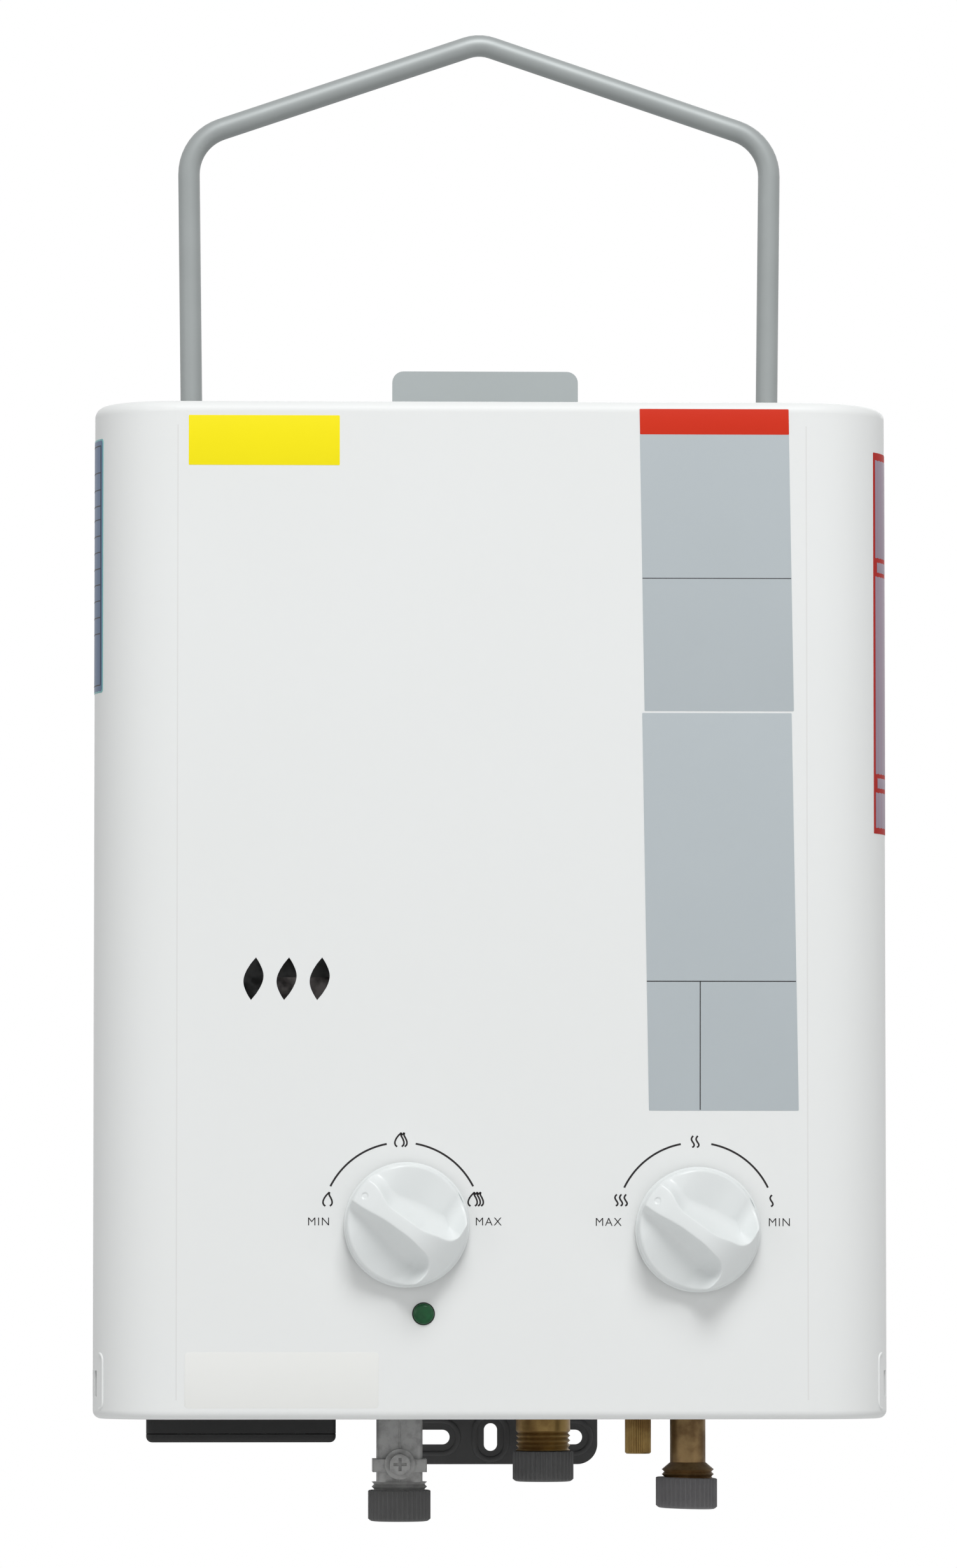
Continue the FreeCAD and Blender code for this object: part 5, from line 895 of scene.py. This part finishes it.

# %% [markdown]
# ## Painted shade at the bends
# Where the flat front starts to bend into the round corners, the change of curvature shades a faint upright
# line. A hair-thin strip of slightly darker paint on each side paints that shade in.

# %% Painted shade lines beside the corners
BEND_X = 114.4
BEND_LOW, BEND_HIGH = 7.0, 361.0
# Slightly darker white paint that stands in for the shade along the bends.
crease_shade_paint = coated("white paint with painted crease shade", (226, 227, 226), (221, 222, 221), (0.42, 0.48), 620.0, 7.0, 0.1,
                       specular=0.25)
bend_shade_lines = [
    strip_grid(np.linspace((side * BEND_X, BEND_LOW), (side * BEND_X, BEND_HIGH), 40), 0.45, thickness=0.02)
    for side in (-1, 1)
]
make_piece("bend_shade_lines", bend_shade_lines, "frame", crease_shade_paint)

# %% [markdown]
# ## The lamp's rim
# A thin dark ring holds the green lens. It is a small circle carried round a large one.

# %% Ring round the lens
LAMP_X, LAMP_Z = -25.0, 38.2


def ring_grid(x, z, radius, thick):
    """x = x0 + (R + r cos v) cos u, z likewise with sin u, depth = -r sin v."""
    u = np.linspace(0.0, 2.0 * np.pi, 64, endpoint=False)[:, None]
    v = np.linspace(0.0, 2.0 * np.pi, 12, endpoint=False)[None, :]
    out = radius + thick * np.cos(v)
    points = [x + out * np.cos(u), -thick * np.sin(v) * np.ones_like(u), z + out * np.sin(u)]
    return np.stack(points, axis=-1), True, True


make_piece("lamp_rim", [ring_grid(LAMP_X, LAMP_Z, 3.95, 0.2)], "frame", box_plastic)

# %% [markdown]
# ## The vent field
# Low on each side a shallow field is pressed out, with rounded corners, round the air slots. Only its
# edge shows, as a soft bead that runs round the corner of the case.

# %% Pressed edge on both sides
EDGE_FLATNESS = 0.8


def field_edge(side, left, right, base, top, corner, radius=0.55):
    """A rounded rectangle measured along the cover's plan; the bead's section is a low ellipse."""
    turn = np.radians(np.linspace(0.0, 360.0, 120, endpoint=False))
    middle_u, middle_v = (left + right) / 2, (base + top) / 2
    reach_u, reach_v = (right - left) / 2 - corner, (top - base) / 2 - corner
    u = middle_u + reach_u * np.sign(np.cos(turn)) + corner * np.cos(turn)
    v = middle_v + reach_v * np.sign(np.sin(turn)) + corner * np.sin(turn)
    way = np.stack([np.roll(u, -1) - np.roll(u, 1), np.roll(v, -1) - np.roll(v, 1)], axis=-1)
    way /= np.linalg.norm(way, axis=1)[:, None]
    t = np.linspace(0.0, 2.0 * np.pi, 10, endpoint=False)
    across = radius * np.cos(t)
    lift = EDGE_FLATNESS * radius * np.sin(t)
    edge_u = u[:, None] - way[:, 1, None] * across[None, :]
    edge_v = v[:, None] + way[:, 0, None] * across[None, :]
    points = on_cover(side * edge_u.ravel(), edge_v.ravel(), np.tile(lift, len(u)))
    return points.reshape(len(u), len(t), 3), True, True


make_piece("vent_field_edges", [field_edge(side, 146.9, 228.0, 3.6, 23.6, 2.6) for side in (-1, 1)],
           "frame", white_paint, crease=70.0)

# %% [markdown]
# ## The studio's floor
# The heater hangs in a white studio. The floor lies well below it and keeps its shadow; further out it
# fades to the white of the world, for the camera only, so that no edge of the floor shows. The fade is
# the distance from the middle, times "is this the camera's ray", as the share of a Mix Shader.

# %% Studio floor
FLOOR = -0.62
FLOOR_RADIUS = 3.6
FLOOR_RINGS = 12
FLOOR_SPOKES = 96
FLOOR_GREY = 0.78
FADE_START = 1.0
FADE_END = 3.3


def floor_grid():
    """A disc: row k of 12 is a circle of radius 3.6 * (k / 11)^1.5."""
    turn = np.linspace(0.0, 2.0 * np.pi, FLOOR_SPOKES, endpoint=False)
    radius = np.linspace(0.0, 1.0, FLOOR_RINGS)[:, None] ** 1.5 * FLOOR_RADIUS
    level = np.full((FLOOR_RINGS, FLOOR_SPOKES), FLOOR)
    return np.stack([radius * np.cos(turn), radius * np.sin(turn), level], axis=-1)


floor_mesh = bpy.data.meshes.new("studio_floor")
floor_mesh.from_pydata(floor_grid().reshape(-1, 3), [], grid_quads(FLOOR_RINGS, FLOOR_SPOKES, False, True))
floor_mesh.validate()
studio_floor = bpy.data.objects.new("studio_floor", floor_mesh)
bpy.context.scene.collection.objects.link(studio_floor)

floor_paint = bpy.data.materials.new("studio white")
floor_paint.use_nodes = True
tree = floor_paint.node_tree
matte = tree.nodes["Principled BSDF"]
matte.inputs["Base Color"].default_value = (FLOOR_GREY, FLOOR_GREY, FLOOR_GREY, 1.0)
matte.inputs["Roughness"].default_value = 0.9
matte.inputs["Specular IOR Level"].default_value = 0.1
floor_where = tree.nodes.new("ShaderNodeTexCoord")
from_middle = calculate(tree, "VectorMath", "LENGTH", floor_where.outputs["Object"])
fade = tree.nodes.new("ShaderNodeMapRange")
fade.interpolation_type = "SMOOTHSTEP"
fade.inputs["From Min"].default_value = FADE_START
fade.inputs["From Max"].default_value = FADE_END
tree.links.new(from_middle.outputs["Value"], fade.inputs["Value"])
floor_ray = tree.nodes.new("ShaderNodeLightPath")
share = calculate(tree, "Math", "MULTIPLY", fade.outputs["Result"], floor_ray.outputs["Is Camera Ray"])
glow = tree.nodes.new("ShaderNodeEmission")
mix = tree.nodes.new("ShaderNodeMixShader")
tree.links.new(share.outputs["Value"], mix.inputs["Fac"])
tree.links.new(matte.outputs["BSDF"], mix.inputs[1])
tree.links.new(glow.outputs["Emission"], mix.inputs[2])
tree.links.new(mix.outputs["Shader"], tree.nodes["Material Output"].inputs["Surface"])
floor_mesh.materials.append(floor_paint)

# %% [markdown]
# ## World and lamps
# The world is white for the camera and for reflections, and gives a softer share of light to everything
# else. One large lamp from above, almost straight over the camera, makes the knobs' shadows fall below
# them. Two weak ones fill the sides, and one behind lights the back plate.

# %% White world
WORLD_LIGHT = 0.36

world = bpy.data.worlds.new("studio")
bpy.context.scene.world = world
world.use_nodes = True
sky = world.node_tree
sky.nodes.clear()
ray = sky.nodes.new("ShaderNodeLightPath")
direct = calculate(sky, "Math", "MAXIMUM", ray.outputs["Is Camera Ray"], ray.outputs["Is Glossy Ray"])
seen = calculate(sky, "Math", "MAXIMUM", direct.outputs["Value"], ray.outputs["Is Transmission Ray"])
strength = sky.nodes.new("ShaderNodeMapRange")
strength.inputs["To Min"].default_value = WORLD_LIGHT
strength.inputs["To Max"].default_value = 1.0
sky.links.new(seen.outputs["Value"], strength.inputs["Value"])
white = sky.nodes.new("ShaderNodeBackground")
white.inputs["Color"].default_value = (1.0, 1.0, 1.0, 1.0)
sky.links.new(strength.outputs["Result"], white.inputs["Strength"])
out = sky.nodes.new("ShaderNodeOutputWorld")
sky.links.new(white.outputs["Background"], out.inputs["Surface"])
print("world light:", WORLD_LIGHT)

# %% Four soft lamps
CASE_MIDDLE = Vector((0.0, -0.08, -0.19))


def lamp(name, place, size, watts):
    """A square soft lamp at place, in metres, facing the middle of the case."""
    data = bpy.data.lights.new(name, "AREA")
    data.size = size
    data.energy = watts
    soft = bpy.data.objects.new(name, data)
    bpy.context.scene.collection.objects.link(soft)
    way = CASE_MIDDLE - Vector(place)
    soft.matrix_world = Matrix.Translation(place) @ way.to_track_quat("-Z", "Y").to_matrix().to_4x4()


for name, place, size, watts in (
    ("key", (0.2, -2.45, 2.7), 1.6, 91.0),
    ("left_fill", (-2.2, -1.9, 0.3), 1.2, 5.0),
    ("right_fill", (2.2, -1.9, 0.0), 1.2, 3.0),
    ("back", (0.6, 2.2, 0.9), 1.2, 10.0),
):
    lamp(name, place, size, watts)

# %% [markdown]
# ## The camera
# The camera stands three metres away, a little to the left of the heater and a little below its middle,
# so that the underside of the fittings shows as a thin curve and the left corner more than the right.
# The frame is upright, so the lens follows from the height that it should take in at the heater.

# %% Camera
YAW = math.radians(1.7)
PITCH = math.radians(3.3)
DISTANCE = 3.0
SENSOR = 36.0
VIEW_HEIGHT = 0.5694304

look = Vector((math.sin(YAW) * math.cos(PITCH), math.cos(YAW) * math.cos(PITCH), math.sin(PITCH)))
right = Vector((math.cos(YAW), -math.sin(YAW), 0.0))
up = right.cross(look)
target = Vector(to_scene([-5.1, 0.0, 230.2]))
spot = target - DISTANCE * look
camera_data = bpy.data.cameras.new("camera")
camera_data.sensor_width = SENSOR
camera_data.lens = SENSOR * DISTANCE / VIEW_HEIGHT
camera = bpy.data.objects.new("camera", camera_data)
bpy.context.scene.collection.objects.link(camera)
camera.matrix_world = Matrix((
    (right.x, up.x, -look.x, spot.x),
    (right.y, up.y, -look.y, spot.y),
    (right.z, up.z, -look.z, spot.z),
    (0.0, 0.0, 0.0, 1.0),
))
bpy.context.scene.camera = camera
bpy.context.scene.view_settings.view_transform = "Standard"
print("camera lens:", round(camera_data.lens, 1), "mm")
